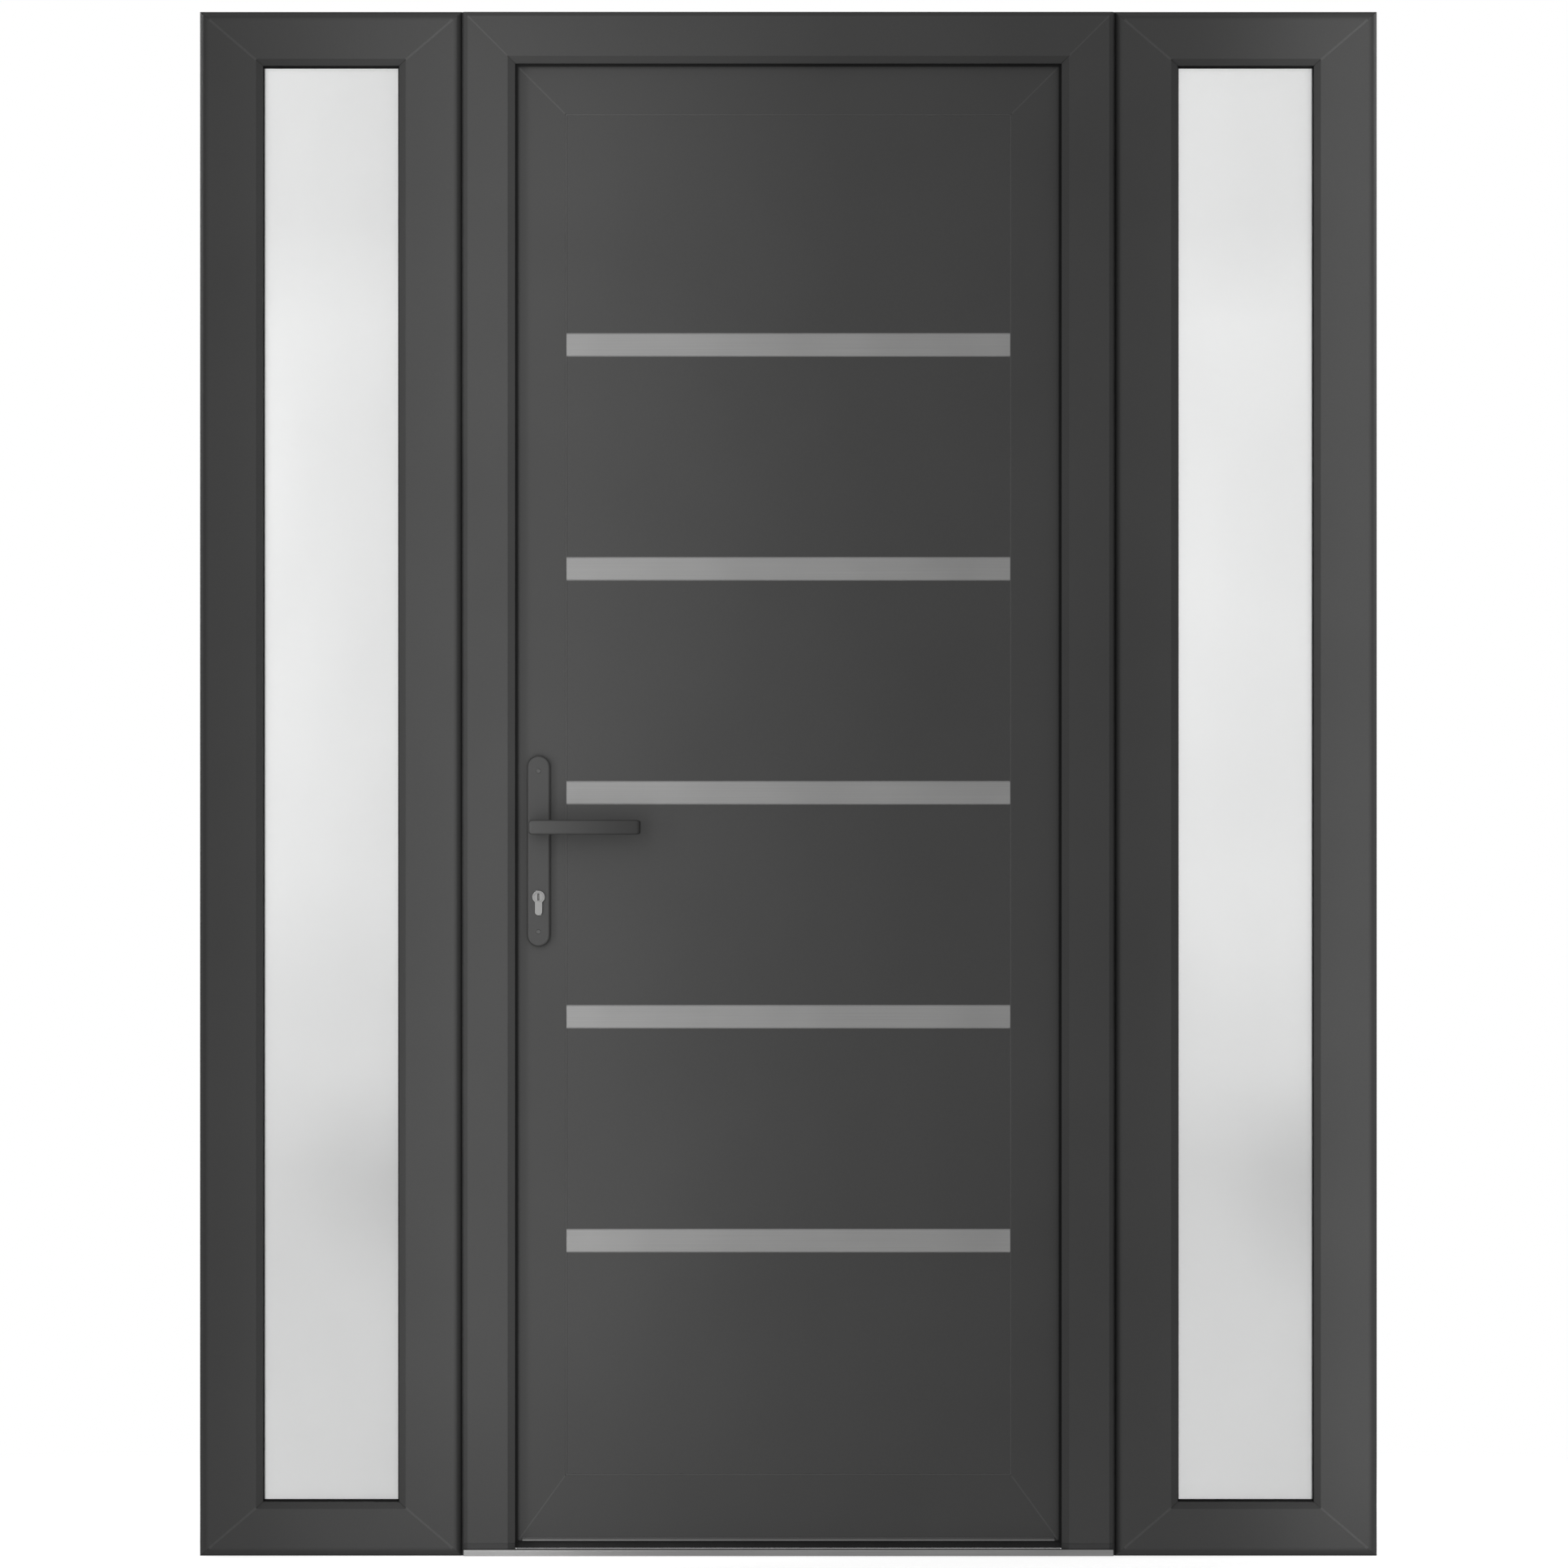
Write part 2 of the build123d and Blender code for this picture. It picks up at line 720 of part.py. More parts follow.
def fixing_holes(side):
    """Clear holes for frame fixings through the stile that stands against the wall."""
    pitch = (UNIT_HEIGHT - 2 * FIXING_END) / (FIXING_COUNT - 1)
    hole = Pos(side * (sidelight_outer - STILE_LIP / 2), 0) * Rot(0, 90, 0) * Cylinder(
        FIXING_HOLE_RADIUS, STILE_LIP
    )
    return [Pos(0, 0, FIXING_END + pitch * i) * hole for i in range(FIXING_COUNT)]


def glazed_block(left, right, stile, rail, y_range):
    """A slab that fills a sidelight between the given distances from its outer edges."""
    return block((left + stile, right - stile), y_range, (rail, UNIT_HEIGHT - rail))


def save_sidelight(name, side):
    left, right = sorted((side * sidelight_inner, side * sidelight_outer))
    outer_stile = sidelight_stile(side * sidelight_outer, -side)
    for hole in fixing_holes(side):
        outer_stile -= hole
    save(f"{name}_sidelight_outer_stile", outer_stile)
    save(f"{name}_sidelight_inner_stile", sidelight_stile(side * sidelight_inner, side))
    save(f"{name}_sidelight_head", sidelight_rail(left, right, UNIT_HEIGHT, -1))
    save(f"{name}_sidelight_sill", sidelight_rail(left, right, 0, 1))

    glass_stile = STILE_LIP - GLASS_COVER
    glass_rail = RAIL_LIP - GLASS_COVER
    seal_y = (lip_back, glass_front)
    seal = glazed_block(left, right, glass_stile, glass_rail, seal_y)
    seal -= glazed_block(left, right, STILE_LIP + STILE_GASKET_REACH, RAIL_LIP + RAIL_GASKET_REACH, seal_y)
    save(f"{name}_sidelight_gasket", seal)

    outer_pane = (glass_front, glass_front + PANE_THICKNESS)
    inner_pane = (glass_back - PANE_THICKNESS, glass_back)
    panes = [glazed_block(left, right, glass_stile, glass_rail, y) for y in (outer_pane, inner_pane)]
    save(f"{name}_sidelight_panes", *panes)

    spacer = ring(
        (left + glass_stile, right - glass_stile),
        (glass_rail, UNIT_HEIGHT - glass_rail),
        SPACER_WIDTH,
        (outer_pane[1], inner_pane[0]),
    )
    save(f"{name}_sidelight_spacer", spacer)

    stile_floor = glass_stile - GLASS_EDGE_GAP
    rail_floor = glass_rail - GLASS_EDGE_GAP
    beads = mitred_beads(
        (left + stile_floor, right - stile_floor),
        (rail_floor, UNIT_HEIGHT - rail_floor),
        STILE_LIP - stile_floor,
        RAIL_LIP - rail_floor,
        glass_back,
        back - BEAD_SETBACK,
    )
    save(f"{name}_sidelight_beads", *beads)


def coupling(side):
    """The dark strip that closes the joint between the door frame and a sidelight."""
    x_range = sorted((side * half_frame, side * sidelight_inner))
    return block(x_range, (front + COUPLING_RECESS, back), (0, UNIT_HEIGHT))


# Fixed frame
save("door_head", door_head())
save("latch_jamb", latch_jamb())
save("hinge_jamb", jamb(1))
save("jamb_feet", jamb_foot(-1), jamb_foot(1))
save("frame_gasket", frame_gasket())
save("threshold_nose", threshold_nose())
save("threshold_sill", threshold_sill())
save("strike_plates", *[strike_plate(z) for z in strike_places])
save("hinge_frame_halves", *[hinge_frame_half(z) for z in hinge_places])
for name, side in SIDES.items():
    save(f"{name}_coupling", coupling(side))
    save_sidelight(name, side)

# Leaf
save("leaf_latch_stile", latch_stile())
save("leaf_hinge_stile", leaf_stile(1))
save("leaf_top_rail", leaf_top_rail())
save("leaf_bottom_rail", leaf_bottom_rail())
save("leaf_gasket", leaf_gasket())
save("bottom_seal", bottom_seal())
save("drip_bar", drip_bar())
save("door_panel", door_panel())
save("outside_inlay_strips", *[inlay_strip(field_front, -1, z) for z in strip_places])
save("inside_inlay_strips", *[inlay_strip(panel_back, 1, z) for z in strip_places])
panel_bead = PANEL_COVER + PANEL_EDGE_GAP
panel_beads = mitred_beads(
    (-panel_half - panel_bead, panel_half + panel_bead),
    (panel_bottom - panel_bead, panel_top + panel_bead),
    panel_bead,
    panel_bead,
    panel_back,
    leaf_back - BEAD_SETBACK,
)
save("panel_beads", *panel_beads)
save("hinge_leaf_halves", *[hinge_leaf_half(z) for z in hinge_places])
save("outside_backplate", outside_plate())
save("inside_backplate", mirror(outside_plate(), mid_plane))
save("lock_cylinder", lock_cylinder())
save("lock_faceplate", faceplate_blank())
save("latch_bolt", latch_bolt())

# Lever handle
save("outside_lever", outside_lever())
save("inside_lever", mirror(outside_lever(), mid_plane))
save("spindle", spindle)
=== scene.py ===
import json
import math

import bmesh
import bpy
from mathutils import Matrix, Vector


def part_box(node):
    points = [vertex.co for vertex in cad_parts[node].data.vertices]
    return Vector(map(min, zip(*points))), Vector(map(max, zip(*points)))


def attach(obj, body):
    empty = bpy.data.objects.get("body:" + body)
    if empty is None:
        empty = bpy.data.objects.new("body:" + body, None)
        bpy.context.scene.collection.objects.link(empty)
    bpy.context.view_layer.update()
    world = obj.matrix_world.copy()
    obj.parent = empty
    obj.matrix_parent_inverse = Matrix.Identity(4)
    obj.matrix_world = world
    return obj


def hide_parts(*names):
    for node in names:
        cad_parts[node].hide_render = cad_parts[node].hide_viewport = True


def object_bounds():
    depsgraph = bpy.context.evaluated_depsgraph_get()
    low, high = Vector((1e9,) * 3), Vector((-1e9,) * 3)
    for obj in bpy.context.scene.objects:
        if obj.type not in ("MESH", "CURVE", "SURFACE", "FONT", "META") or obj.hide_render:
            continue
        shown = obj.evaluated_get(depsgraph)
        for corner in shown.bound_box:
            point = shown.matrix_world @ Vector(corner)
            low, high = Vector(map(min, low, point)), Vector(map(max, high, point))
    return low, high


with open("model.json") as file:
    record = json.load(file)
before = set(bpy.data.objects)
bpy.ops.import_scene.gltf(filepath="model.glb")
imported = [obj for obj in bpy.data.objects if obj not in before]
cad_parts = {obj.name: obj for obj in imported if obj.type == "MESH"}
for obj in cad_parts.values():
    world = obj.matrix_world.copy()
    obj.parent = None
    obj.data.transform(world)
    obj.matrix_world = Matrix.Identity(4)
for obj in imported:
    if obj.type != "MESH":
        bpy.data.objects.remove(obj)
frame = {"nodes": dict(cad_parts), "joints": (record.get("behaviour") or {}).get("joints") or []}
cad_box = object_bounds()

# Door frame: a head and two jambs of hollow plastic profile, wrapped in anthracite foil and welded
# at the top corners. The foil has a fine even emboss and a satin sheen, and its edges are rolled.
MM = 0.001
ANTHRACITE = (0.0530, 0.0530, 0.0526, 1.0)
FOIL_ROUGHNESS = 0.56
FOIL_SPECULAR = 0.045
FOIL_GRAIN = 650.0
FOIL_MOTTLING = 0.05
FOIL_RELIEF = 0.10
GRAIN_DEPTH = 0.2 * MM
SPECKLE_SHARE = 0.6
GRAIN_DETAIL = 2.0
CLOUDS_PER_METRE = 4.0
CLOUD_DETAIL = 3.0
GRAIN_SWING = 0.16
PATTERN_RANGE = (0.3, 0.7)
SHARE_RANGE = (0.0, 1.0)
PROFILE_EASE = 0.5 * MM
EASE_STEPS = 2
FACET_ANGLE = math.radians(38)
MERGE_REACH = 1e-6
FLAT_ANGLE = math.radians(0.4)
FLAT_WEIGHT = 100


def add(tree, kind, sockets=None, **settings):
    """A new node in a tree, with its settings and its sockets filled by values or links."""
    made = tree.nodes.new(kind)
    for name, value in settings.items():
        setattr(made, name, value)
    for name, value in (sockets or {}).items():
        if isinstance(value, bpy.types.NodeSocket):
            tree.links.new(value, made.inputs[name])
        else:
            made.inputs[name].default_value = value
    return made


def out(tree, kind, sockets=None, **settings):
    """The first output of a new node."""
    return add(tree, kind, sockets, **settings).outputs[0]


def sums(tree, operation, *values):
    """The output of a math node on up to three values or links."""
    made = tree.nodes.new("ShaderNodeMath")
    made.operation = operation
    for socket, value in zip(made.inputs, values):
        if isinstance(value, bpy.types.NodeSocket):
            tree.links.new(value, socket)
        else:
            socket.default_value = value
    return made.outputs[0]


def surface_group(name, inputs):
    """A shader group that puts out a colour, a roughness and a height, with its input node."""
    group = bpy.data.node_groups.new(name, "ShaderNodeTree")
    for label, kind, value in inputs:
        socket = group.interface.new_socket(label, in_out="INPUT", socket_type="NodeSocket" + kind)
        socket.default_value = value
    for label, kind in (("Color", "Color"), ("Roughness", "Float"), ("Height", "Float")):
        group.interface.new_socket(label, in_out="OUTPUT", socket_type="NodeSocket" + kind)
    return group, group.nodes.new("NodeGroupInput").outputs


def put_out(group, color, roughness, height):
    """Ends a shader group with its three results."""
    add(group, "NodeGroupOutput", {"Color": color, "Roughness": roughness, "Height": height})


def noise(tree, place, per_metre, detail):
    """A soft random pattern with so many spots to the metre."""
    return out(tree, "ShaderNodeTexNoise", {"Vector": place, "Scale": per_metre, "Detail": detail})


def ranged(tree, value, given, wanted, **settings):
    """A value brought from one range into another."""
    ends = dict(zip(("From Min", "From Max", "To Min", "To Max"), given + wanted))
    return out(tree, "ShaderNodeMapRange", {"Value": value, **ends}, **settings)


def scaled(tree, color, factor):
    """A colour made lighter or darker by a factor."""
    return out(tree, "ShaderNodeVectorMath", {"Vector": color, "Scale": factor}, operation="SCALE")


def varied(group, color, share, pattern):
    """A colour made lighter and darker by a share as a pattern runs over its range."""
    ends = (sums(group, "SUBTRACT", 1.0, share), sums(group, "ADD", 1.0, share))
    return scaled(group, color, ranged(group, pattern, PATTERN_RANGE, ends))


def swung(group, value, pattern, swing):
    """A value moved up and down by half a swing as a pattern runs from 0 to 1."""
    return sums(group, "ADD", value, sums(group, "MULTIPLY_ADD", pattern, swing, -swing / 2))


grain, given = surface_group(
    "embossed_grain",
    [
        ("Color", "Color", ANTHRACITE),
        ("Roughness", "Float", FOIL_ROUGHNESS),
        ("Grain per metre", "Float", FOIL_GRAIN),
        ("Mottling", "Float", FOIL_MOTTLING),
    ],
)
spot = add(grain, "ShaderNodeTexCoord").outputs["Object"]
fine = noise(grain, spot, given["Grain per metre"], GRAIN_DETAIL)
cloud = noise(grain, spot, CLOUDS_PER_METRE, CLOUD_DETAIL)
speckled = varied(grain, given["Color"], sums(grain, "MULTIPLY", given["Mottling"], SPECKLE_SHARE), fine)
put_out(
    grain,
    varied(grain, speckled, given["Mottling"], cloud),
    swung(grain, given["Roughness"], cloud, GRAIN_SWING),
    fine,
)


def finish(name, group, values, relief, depth, plain):
    """A material that takes its look from a group, with values for the group and for the shader."""
    material = bpy.data.materials.new(name)
    material.use_nodes = True
    tree = material.node_tree
    shader = tree.nodes["Principled BSDF"]
    skin = add(tree, "ShaderNodeGroup", values, node_tree=group)
    relief_values = {"Height": skin.outputs["Height"], "Strength": relief, "Distance": depth}
    bump = out(tree, "ShaderNodeBump", relief_values)
    tree.links.new(skin.outputs["Color"], shader.inputs["Base Color"])
    tree.links.new(skin.outputs["Roughness"], shader.inputs["Roughness"])
    tree.links.new(bump, shader.inputs["Normal"])
    for label, value in plain.items():
        shader.inputs[label].default_value = value
    return material


def grained(name, color, roughness, per_metre, mottling, relief=FOIL_RELIEF, specular=FOIL_SPECULAR):
    """A finish with a fine even grain."""
    values = {"Color": color, "Roughness": roughness, "Grain per metre": per_metre, "Mottling": mottling}
    return finish(name, grain, values, relief, GRAIN_DEPTH, {"Specular IOR Level": specular})


def paint(material, *names):
    """Gives CAD nodes a finish in their own material slots."""
    for name in names:
        for slot in frame["nodes"][name].material_slots:
            slot.material = material


def set_out(name, data):
    """A new object in the scene."""
    made = bpy.data.objects.new(name, data)
    bpy.context.scene.collection.objects.link(made)
    return made


def placed(name, mesh, material, body):
    """A finished piece at the origin that rides on a body."""
    piece = set_out(name, mesh)
    mesh.materials.clear()
    mesh.materials.append(material)
    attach(piece, body)
    return piece


def plain_mesh(piece):
    """The mesh of an object with its modifiers worked in."""
    bpy.context.view_layer.update()
    graph = bpy.context.evaluated_depsgraph_get()
    return bpy.data.meshes.new_from_object(piece.evaluated_get(graph))


def levelled(name, mesh, ease=0.0):
    """A mesh with rolled edges, shaded smooth without bending its flat faces."""
    mesh.polygons.foreach_set("use_smooth", [True] * len(mesh.polygons))
    mesh.set_sharp_from_angle(angle=FACET_ANGLE)
    rough = set_out(name + "_rough", mesh)
    if ease:
        rolled = rough.modifiers.new("rolled", "BEVEL")
        rolled.width = ease
        rolled.segments = EASE_STEPS
        rolled.limit_method = "ANGLE"
        rolled.angle_limit = FACET_ANGLE
    level = rough.modifiers.new("level", "WEIGHTED_NORMAL")
    level.mode = "FACE_AREA"
    level.weight = FLAT_WEIGHT
    level.keep_sharp = True
    smooth = plain_mesh(rough)
    bpy.data.objects.remove(rough)
    return smooth


def eased(name, suffix, ease, material, body):
    """A copy of a solid with joined faces and rolled edges, which stands for the CAD node."""
    shape = bmesh.new()
    shape.from_mesh(frame["nodes"][name].data)
    bmesh.ops.remove_doubles(shape, verts=shape.verts, dist=MERGE_REACH)
    bmesh.ops.dissolve_limit(shape, angle_limit=FLAT_ANGLE, verts=shape.verts, edges=shape.edges)
    shape.verts.index_update()
    corners = [v.co.copy() for v in shape.verts]
    faces = [[v.index for v in f.verts] for f in shape.faces]
    shape.free()
    mesh = bpy.data.meshes.new(name + "_rough")
    mesh.from_pydata(corners, [], faces)
    paint(material, name)
    piece = placed(f"{name}_{suffix}", levelled(name, mesh, ease), material, body)
    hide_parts(name)


foil = grained("anthracite_foil", ANTHRACITE, FOIL_ROUGHNESS, FOIL_GRAIN, FOIL_MOTTLING)
for name in ("door_head", "latch_jamb", "hinge_jamb"):
    eased(name, "profile", PROFILE_EASE, foil, "frame")

# Frame welds: the thin bead that is left on the faces where the mitred head meets the jambs.
# It is trimmed almost flush and touched in with foil pen, so it is a little lighter and smoother.
WELD_WIDTH = 2.8 * MM
WELD_HEIGHT = 0.12 * MM
WELD_SINK = 0.05 * MM
WELD_GREY = (0.0655, 0.0655, 0.065, 1.0)
WELD_ROUGHNESS = 0.42
WELD_GRAIN = 390.0
WELD_MOTTLING = 0.075
UNIT_HEIGHT = cad_box[1].z
FRAME_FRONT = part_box("door_head")[0].y
FRAME_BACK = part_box("door_head")[1].y
DOOR_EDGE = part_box("door_head")[1].x
FRAME_SEAM_OUTDOORS = (5.5 * MM, 57.5 * MM)
FRAME_SEAM_INDOORS = (1.0 * MM, 41.0 * MM)

weld = grained("touched_in_weld", WELD_GREY, WELD_ROUGHNESS, WELD_GRAIN, WELD_MOTTLING)


def skinned(shape, rings):
    """Faces from ring to ring, with both ends closed."""
    for first, second in zip(rings, rings[1:]):
        for i in range(len(first)):
            j = (i + 1) % len(first)
            shape.faces.new((first[i], first[j], second[j], second[i]))
    shape.faces.new(rings[0][::-1])
    shape.faces.new(rings[-1])


def meshed(name, shape):
    """A mesh of a shape, with its faces turned outwards."""
    bmesh.ops.recalc_face_normals(shape, faces=shape.faces)
    mesh = bpy.data.meshes.new(name)
    shape.to_mesh(mesh)
    shape.free()
    return mesh


def weld_beads(name, seams, body, width=WELD_WIDTH):
    """Low ridges that stand out of the faces along mitres, from (start, end, outward) of each."""
    shape = bmesh.new()
    for start, end, outward in seams:
        along = (Vector(end) - Vector(start)).normalized()
        proud = Vector((0, outward, 0))
        across = along.cross(proud) * (width / 2)
        rings = []
        for spot in (Vector(start), Vector(end)):
            low = spot - proud * WELD_SINK
            corners = (low - across, spot + proud * WELD_HEIGHT, low + across)
            rings.append([shape.verts.new(corner) for corner in corners])
        skinned(shape, rings)
    placed(name, meshed(name, shape), weld, body)


frame_seams = []
for side in (-1, 1):
    for (near, far), y, outward in (
        (FRAME_SEAM_OUTDOORS, FRAME_FRONT, -1),
        (FRAME_SEAM_INDOORS, FRAME_BACK, 1),
    ):
        start = (side * (DOOR_EDGE - near), y, UNIT_HEIGHT - near)
        end = (side * (DOOR_EDGE - far), y, UNIT_HEIGHT - far)
        frame_seams.append((start, end, outward))
weld_beads("frame_welds", frame_seams, "frame")

# Jamb feet: short moulded blocks of the frame's own section, screwed between the jambs and the
# threshold. They are plain dyed plastic without foil, so they are a shade duller than the jambs.
FOOT_GREY = (0.045, 0.045, 0.045, 1.0)
FOOT_ROUGHNESS = 0.55
FOOT_GRAIN = 380.0
FOOT_MOTTLING = 0.06
MOULDED_RELIEF = 0.20

moulding = grained("moulded_foot", FOOT_GREY, FOOT_ROUGHNESS, FOOT_GRAIN, FOOT_MOTTLING, MOULDED_RELIEF)
eased("jamb_feet", "mouldings", PROFILE_EASE, moulding, "frame")

# Threshold: a low aluminium nose in front, satin anodised and drawn with long die lines, and a flat
# plastic sill behind it as a thermal break. Fine ribs on both keep shoes from slipping.
ALUMINIUM = (0.205, 0.205, 0.204, 1.0)
ALUMINIUM_ROUGHNESS = 0.38
SILL_BLACK = (0.032, 0.032, 0.032, 1.0)
SILL_ROUGHNESS = 0.6
SILL_GRAIN = 320.0
SILL_MOTTLING = 0.12
LINES_ALONG_X = (6.0, 1100.0, 1100.0)
LINE_CONTRAST = 0.10
LINE_SWING = 0.2
LINE_DEPTH = 0.1 * MM
DRAWN_RELIEF = 0.08
LINE_DETAIL = 4.0
HAZE_PER_METRE = 7.0
HAZE_DETAIL = 2.0
HAZE_SHARE = 0.5
NOSE_EASE = 0.4 * MM
NOSE_RIB_PLACES = [-31.0 * MM, -27.5 * MM, -24.0 * MM, -20.5 * MM, -17.0 * MM]
SILL_RIB_PLACES = [-10.0 * MM, -5.0 * MM, 14.0 * MM, 18.0 * MM, 26.0 * MM, 30.0 * MM]
RIB_RADIUS = 1.0 * MM
RIB_PROUD = 0.45 * MM
RIB_SIDES = 12
RIB_END = 70.0 * MM
RIB_LENGTH = 2 * (DOOR_EDGE - RIB_END)

brushing, given = surface_group(
    "drawn_lines",
    [
        ("Color", "Color", ALUMINIUM),
        ("Roughness", "Float", ALUMINIUM_ROUGHNESS),
        ("Stretch", "Vector", LINES_ALONG_X),
        ("Contrast", "Float", LINE_CONTRAST),
    ],
)
spot = add(brushing, "ShaderNodeTexCoord").outputs["Object"]
drawn = out(brushing, "ShaderNodeMapping", {"Vector": spot, "Scale": given["Stretch"]})
lines = noise(brushing, drawn, 1.0, LINE_DETAIL)
haze = noise(brushing, spot, HAZE_PER_METRE, HAZE_DETAIL)
streaked = varied(brushing, given["Color"], given["Contrast"], lines)
put_out(
    brushing,
    varied(brushing, streaked, sums(brushing, "MULTIPLY", given["Contrast"], HAZE_SHARE), haze),
    swung(brushing, given["Roughness"], lines, LINE_SWING),
    lines,
)


def lined(name, color, roughness, stretch, contrast, relief, metallic=1.0):
    """A finish with fine lines drawn or brushed one way."""
    values = {"Color": color, "Roughness": roughness, "Stretch": stretch, "Contrast": contrast}
    return finish(name, brushing, values, relief, LINE_DEPTH, {"Metallic": metallic})


def tree_for(name, measures, seeded=False):
    """An empty geometry tree with named inputs, and the identifier of each."""
    tree = bpy.data.node_groups.new(name, "GeometryNodeTree")
    tree.interface.new_socket("Geometry", in_out="INPUT", socket_type="NodeSocketGeometry")
    kinds = {label: "Float" for label in measures}
    if seeded:
        kinds["Seed"] = "Int"
    kinds["Finish"] = "Material"
    sockets = {}
    for label, kind in kinds.items():
        socket = tree.interface.new_socket(label, in_out="INPUT", socket_type="NodeSocket" + kind)
        sockets[label] = socket.identifier
    tree.interface.new_socket("Geometry", in_out="OUTPUT", socket_type="NodeSocketGeometry")
    return tree, sockets, tree.nodes.new("NodeGroupInput").outputs


def end_tree(tree, shape, material):
    """Ends a geometry tree in real faces with one finish."""
    real = out(tree, "GeometryNodeRealizeInstances", {"Geometry": shape})
    dressed = out(tree, "GeometryNodeSetMaterial", {"Geometry": real, "Material": material})
    add(tree, "NodeGroupOutput", {"Geometry": dressed})


def grown(name, start, tree, sockets, values, body):
    """A piece that a geometry tree makes from a starting mesh, as a plain mesh on a body."""
    seed = set_out(name + "_seed", start)
    growth = seed.modifiers.new("growth", "NODES")
    growth.node_group = tree
    for label, value in values.items():
        growth[sockets[label]] = value
    mesh = plain_mesh(seed)
    bpy.data.objects.remove(seed)
    placed(name, mesh, values["Finish"], body)


def points(name, places, facing=None):
    """A mesh of loose points, each with the way it faces."""
    mesh = bpy.data.meshes.new(name + "_points")
    mesh.from_pydata(places, [], [])
    if facing:
        layer = mesh.attributes.new("facing", "FLOAT_VECTOR", "POINT")
        layer.data.foreach_set("vector", [value for way in facing for value in way])
    return mesh


rib_tree, rib_sockets, given = tree_for("threshold_ribs", ("Length", "Radius", "Proud"))
bar = out(
    rib_tree,
    "GeometryNodeMeshCylinder",
    {"Vertices": RIB_SIDES, "Radius": given["Radius"], "Depth": given["Length"]},
)
drop = sums(rib_tree, "SUBTRACT", given["Proud"], given["Radius"])
lift = out(rib_tree, "ShaderNodeCombineXYZ", {"Z": drop})
laid = out(
    rib_tree,
    "GeometryNodeTransform",
    {"Geometry": bar, "Translation": lift, "Rotation": (0, math.pi / 2, 0)},
)
ribs = out(rib_tree, "GeometryNodeInstanceOnPoints", {"Points": given["Geometry"], "Instance": laid})
end_tree(rib_tree, ribs, given["Finish"])

anodised = lined(
    "anodised_aluminium", ALUMINIUM, ALUMINIUM_ROUGHNESS, LINES_ALONG_X, LINE_CONTRAST, DRAWN_RELIEF
)
sill_plastic = grained(
    "sill_plastic", SILL_BLACK, SILL_ROUGHNESS, SILL_GRAIN, SILL_MOTTLING, MOULDED_RELIEF
)
eased("threshold_nose", "extrusion", NOSE_EASE, anodised, "frame")
eased("threshold_sill", "moulding", NOSE_EASE, sill_plastic, "frame")
for name, node, places, material, slot in (
    ("nose_ribs", "threshold_nose", NOSE_RIB_PLACES, anodised, "threshold_aluminium"),
    ("sill_ribs", "threshold_sill", SILL_RIB_PLACES, sill_plastic, "sill_plastic"),
):
    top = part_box(node)[1].z
    grown(
        name,
        points(name, [(0, y, top) for y in places]),
        rib_tree,
        rib_sockets,
        {"Length": RIB_LENGTH, "Radius": RIB_RADIUS, "Proud": RIB_PROUD, "Finish": material},
        "frame",
    )

# Frame gasket: black rubber strip pushed into a groove behind the frame lip. A hollow bulb stands on
# it towards the leaf and is pressed flat when the door shuts.
RUBBER_BLACK = (0.010, 0.010, 0.010, 1.0)
RUBBER_ROUGHNESS = 0.72
RUBBER_SPECULAR = 0.06
RUBBER_GRAIN = 900.0
RUBBER_MOTTLING = 0.2
BULB_RADIUS = 1.9 * MM
BULB_SIDES = 10
BULB_CORNER = 5.0 * MM
BULB_CORNER_STEPS = 5
BULB_SINK = 0.5 * MM
BULB_FROM_LIP = 6.0 * MM


def rubbery(name, color, mottling=RUBBER_MOTTLING):
    """A dull finish of extruded rubber."""
    return grained(name, color, RUBBER_ROUGHNESS, RUBBER_GRAIN, mottling, MOULDED_RELIEF, RUBBER_SPECULAR)


rubber = rubbery("gasket_rubber", RUBBER_BLACK)
bulb_tree, bulb_sockets, given = tree_for("gasket_bulb", ("Radius", "Corner"))
run = out(bulb_tree, "GeometryNodeMeshToCurve", {"Mesh": given["Geometry"]})
turned = out(
    bulb_tree,
    "GeometryNodeFilletCurve",
    {"Curve": run, "Count": BULB_CORNER_STEPS, "Radius": given["Corner"]},
    mode="POLY",
)
section = out(
    bulb_tree, "GeometryNodeCurvePrimitiveCircle", {"Resolution": BULB_SIDES, "Radius": given["Radius"]}
)
tube = out(
    bulb_tree, "GeometryNodeCurveToMesh", {"Curve": turned, "Profile Curve": section, "Fill Caps": True}
)
soft = out(bulb_tree, "GeometryNodeSetShadeSmooth", {"Geometry": tube})
end_tree(bulb_tree, soft, given["Finish"])


def bulb(name, runs, body, radius=BULB_RADIUS, corner=BULB_CORNER, material=rubber, closed=False):
    """A rubber bulb along one or more runs of straight lengths."""
    corners = []
    links = []
    for run in runs:
        first = len(corners)
        last = first + len(run) - 1
        corners.extend(run)
        links.extend((i, i + 1) for i in range(first, last))
        if closed:
            links.append((last, first))
    start = bpy.data.meshes.new(name + "_run")
    start.from_pydata(corners, links, [])
    values = {"Radius": radius, "Corner": corner, "Finish": material}
    grown(name, start, bulb_tree, bulb_sockets, values, body)


def hoop(left, right, bottom, top, y, inset):
    """The four corners of an upright rectangle, an inset within its sides."""
    left, right, bottom, top = left + inset, right - inset, bottom + inset, top - inset
    return [(left, y, bottom), (right, y, bottom), (right, y, top), (left, y, top)]


def arch(low, high, y):
    """The run of a bulb up one side of a gasket, over the top and down the other side."""
    x = high.x - BULB_FROM_LIP
    top = high.z - BULB_FROM_LIP
    return [(-x, y, low.z), (-x, y, top), (x, y, top), (x, y, low.z)]


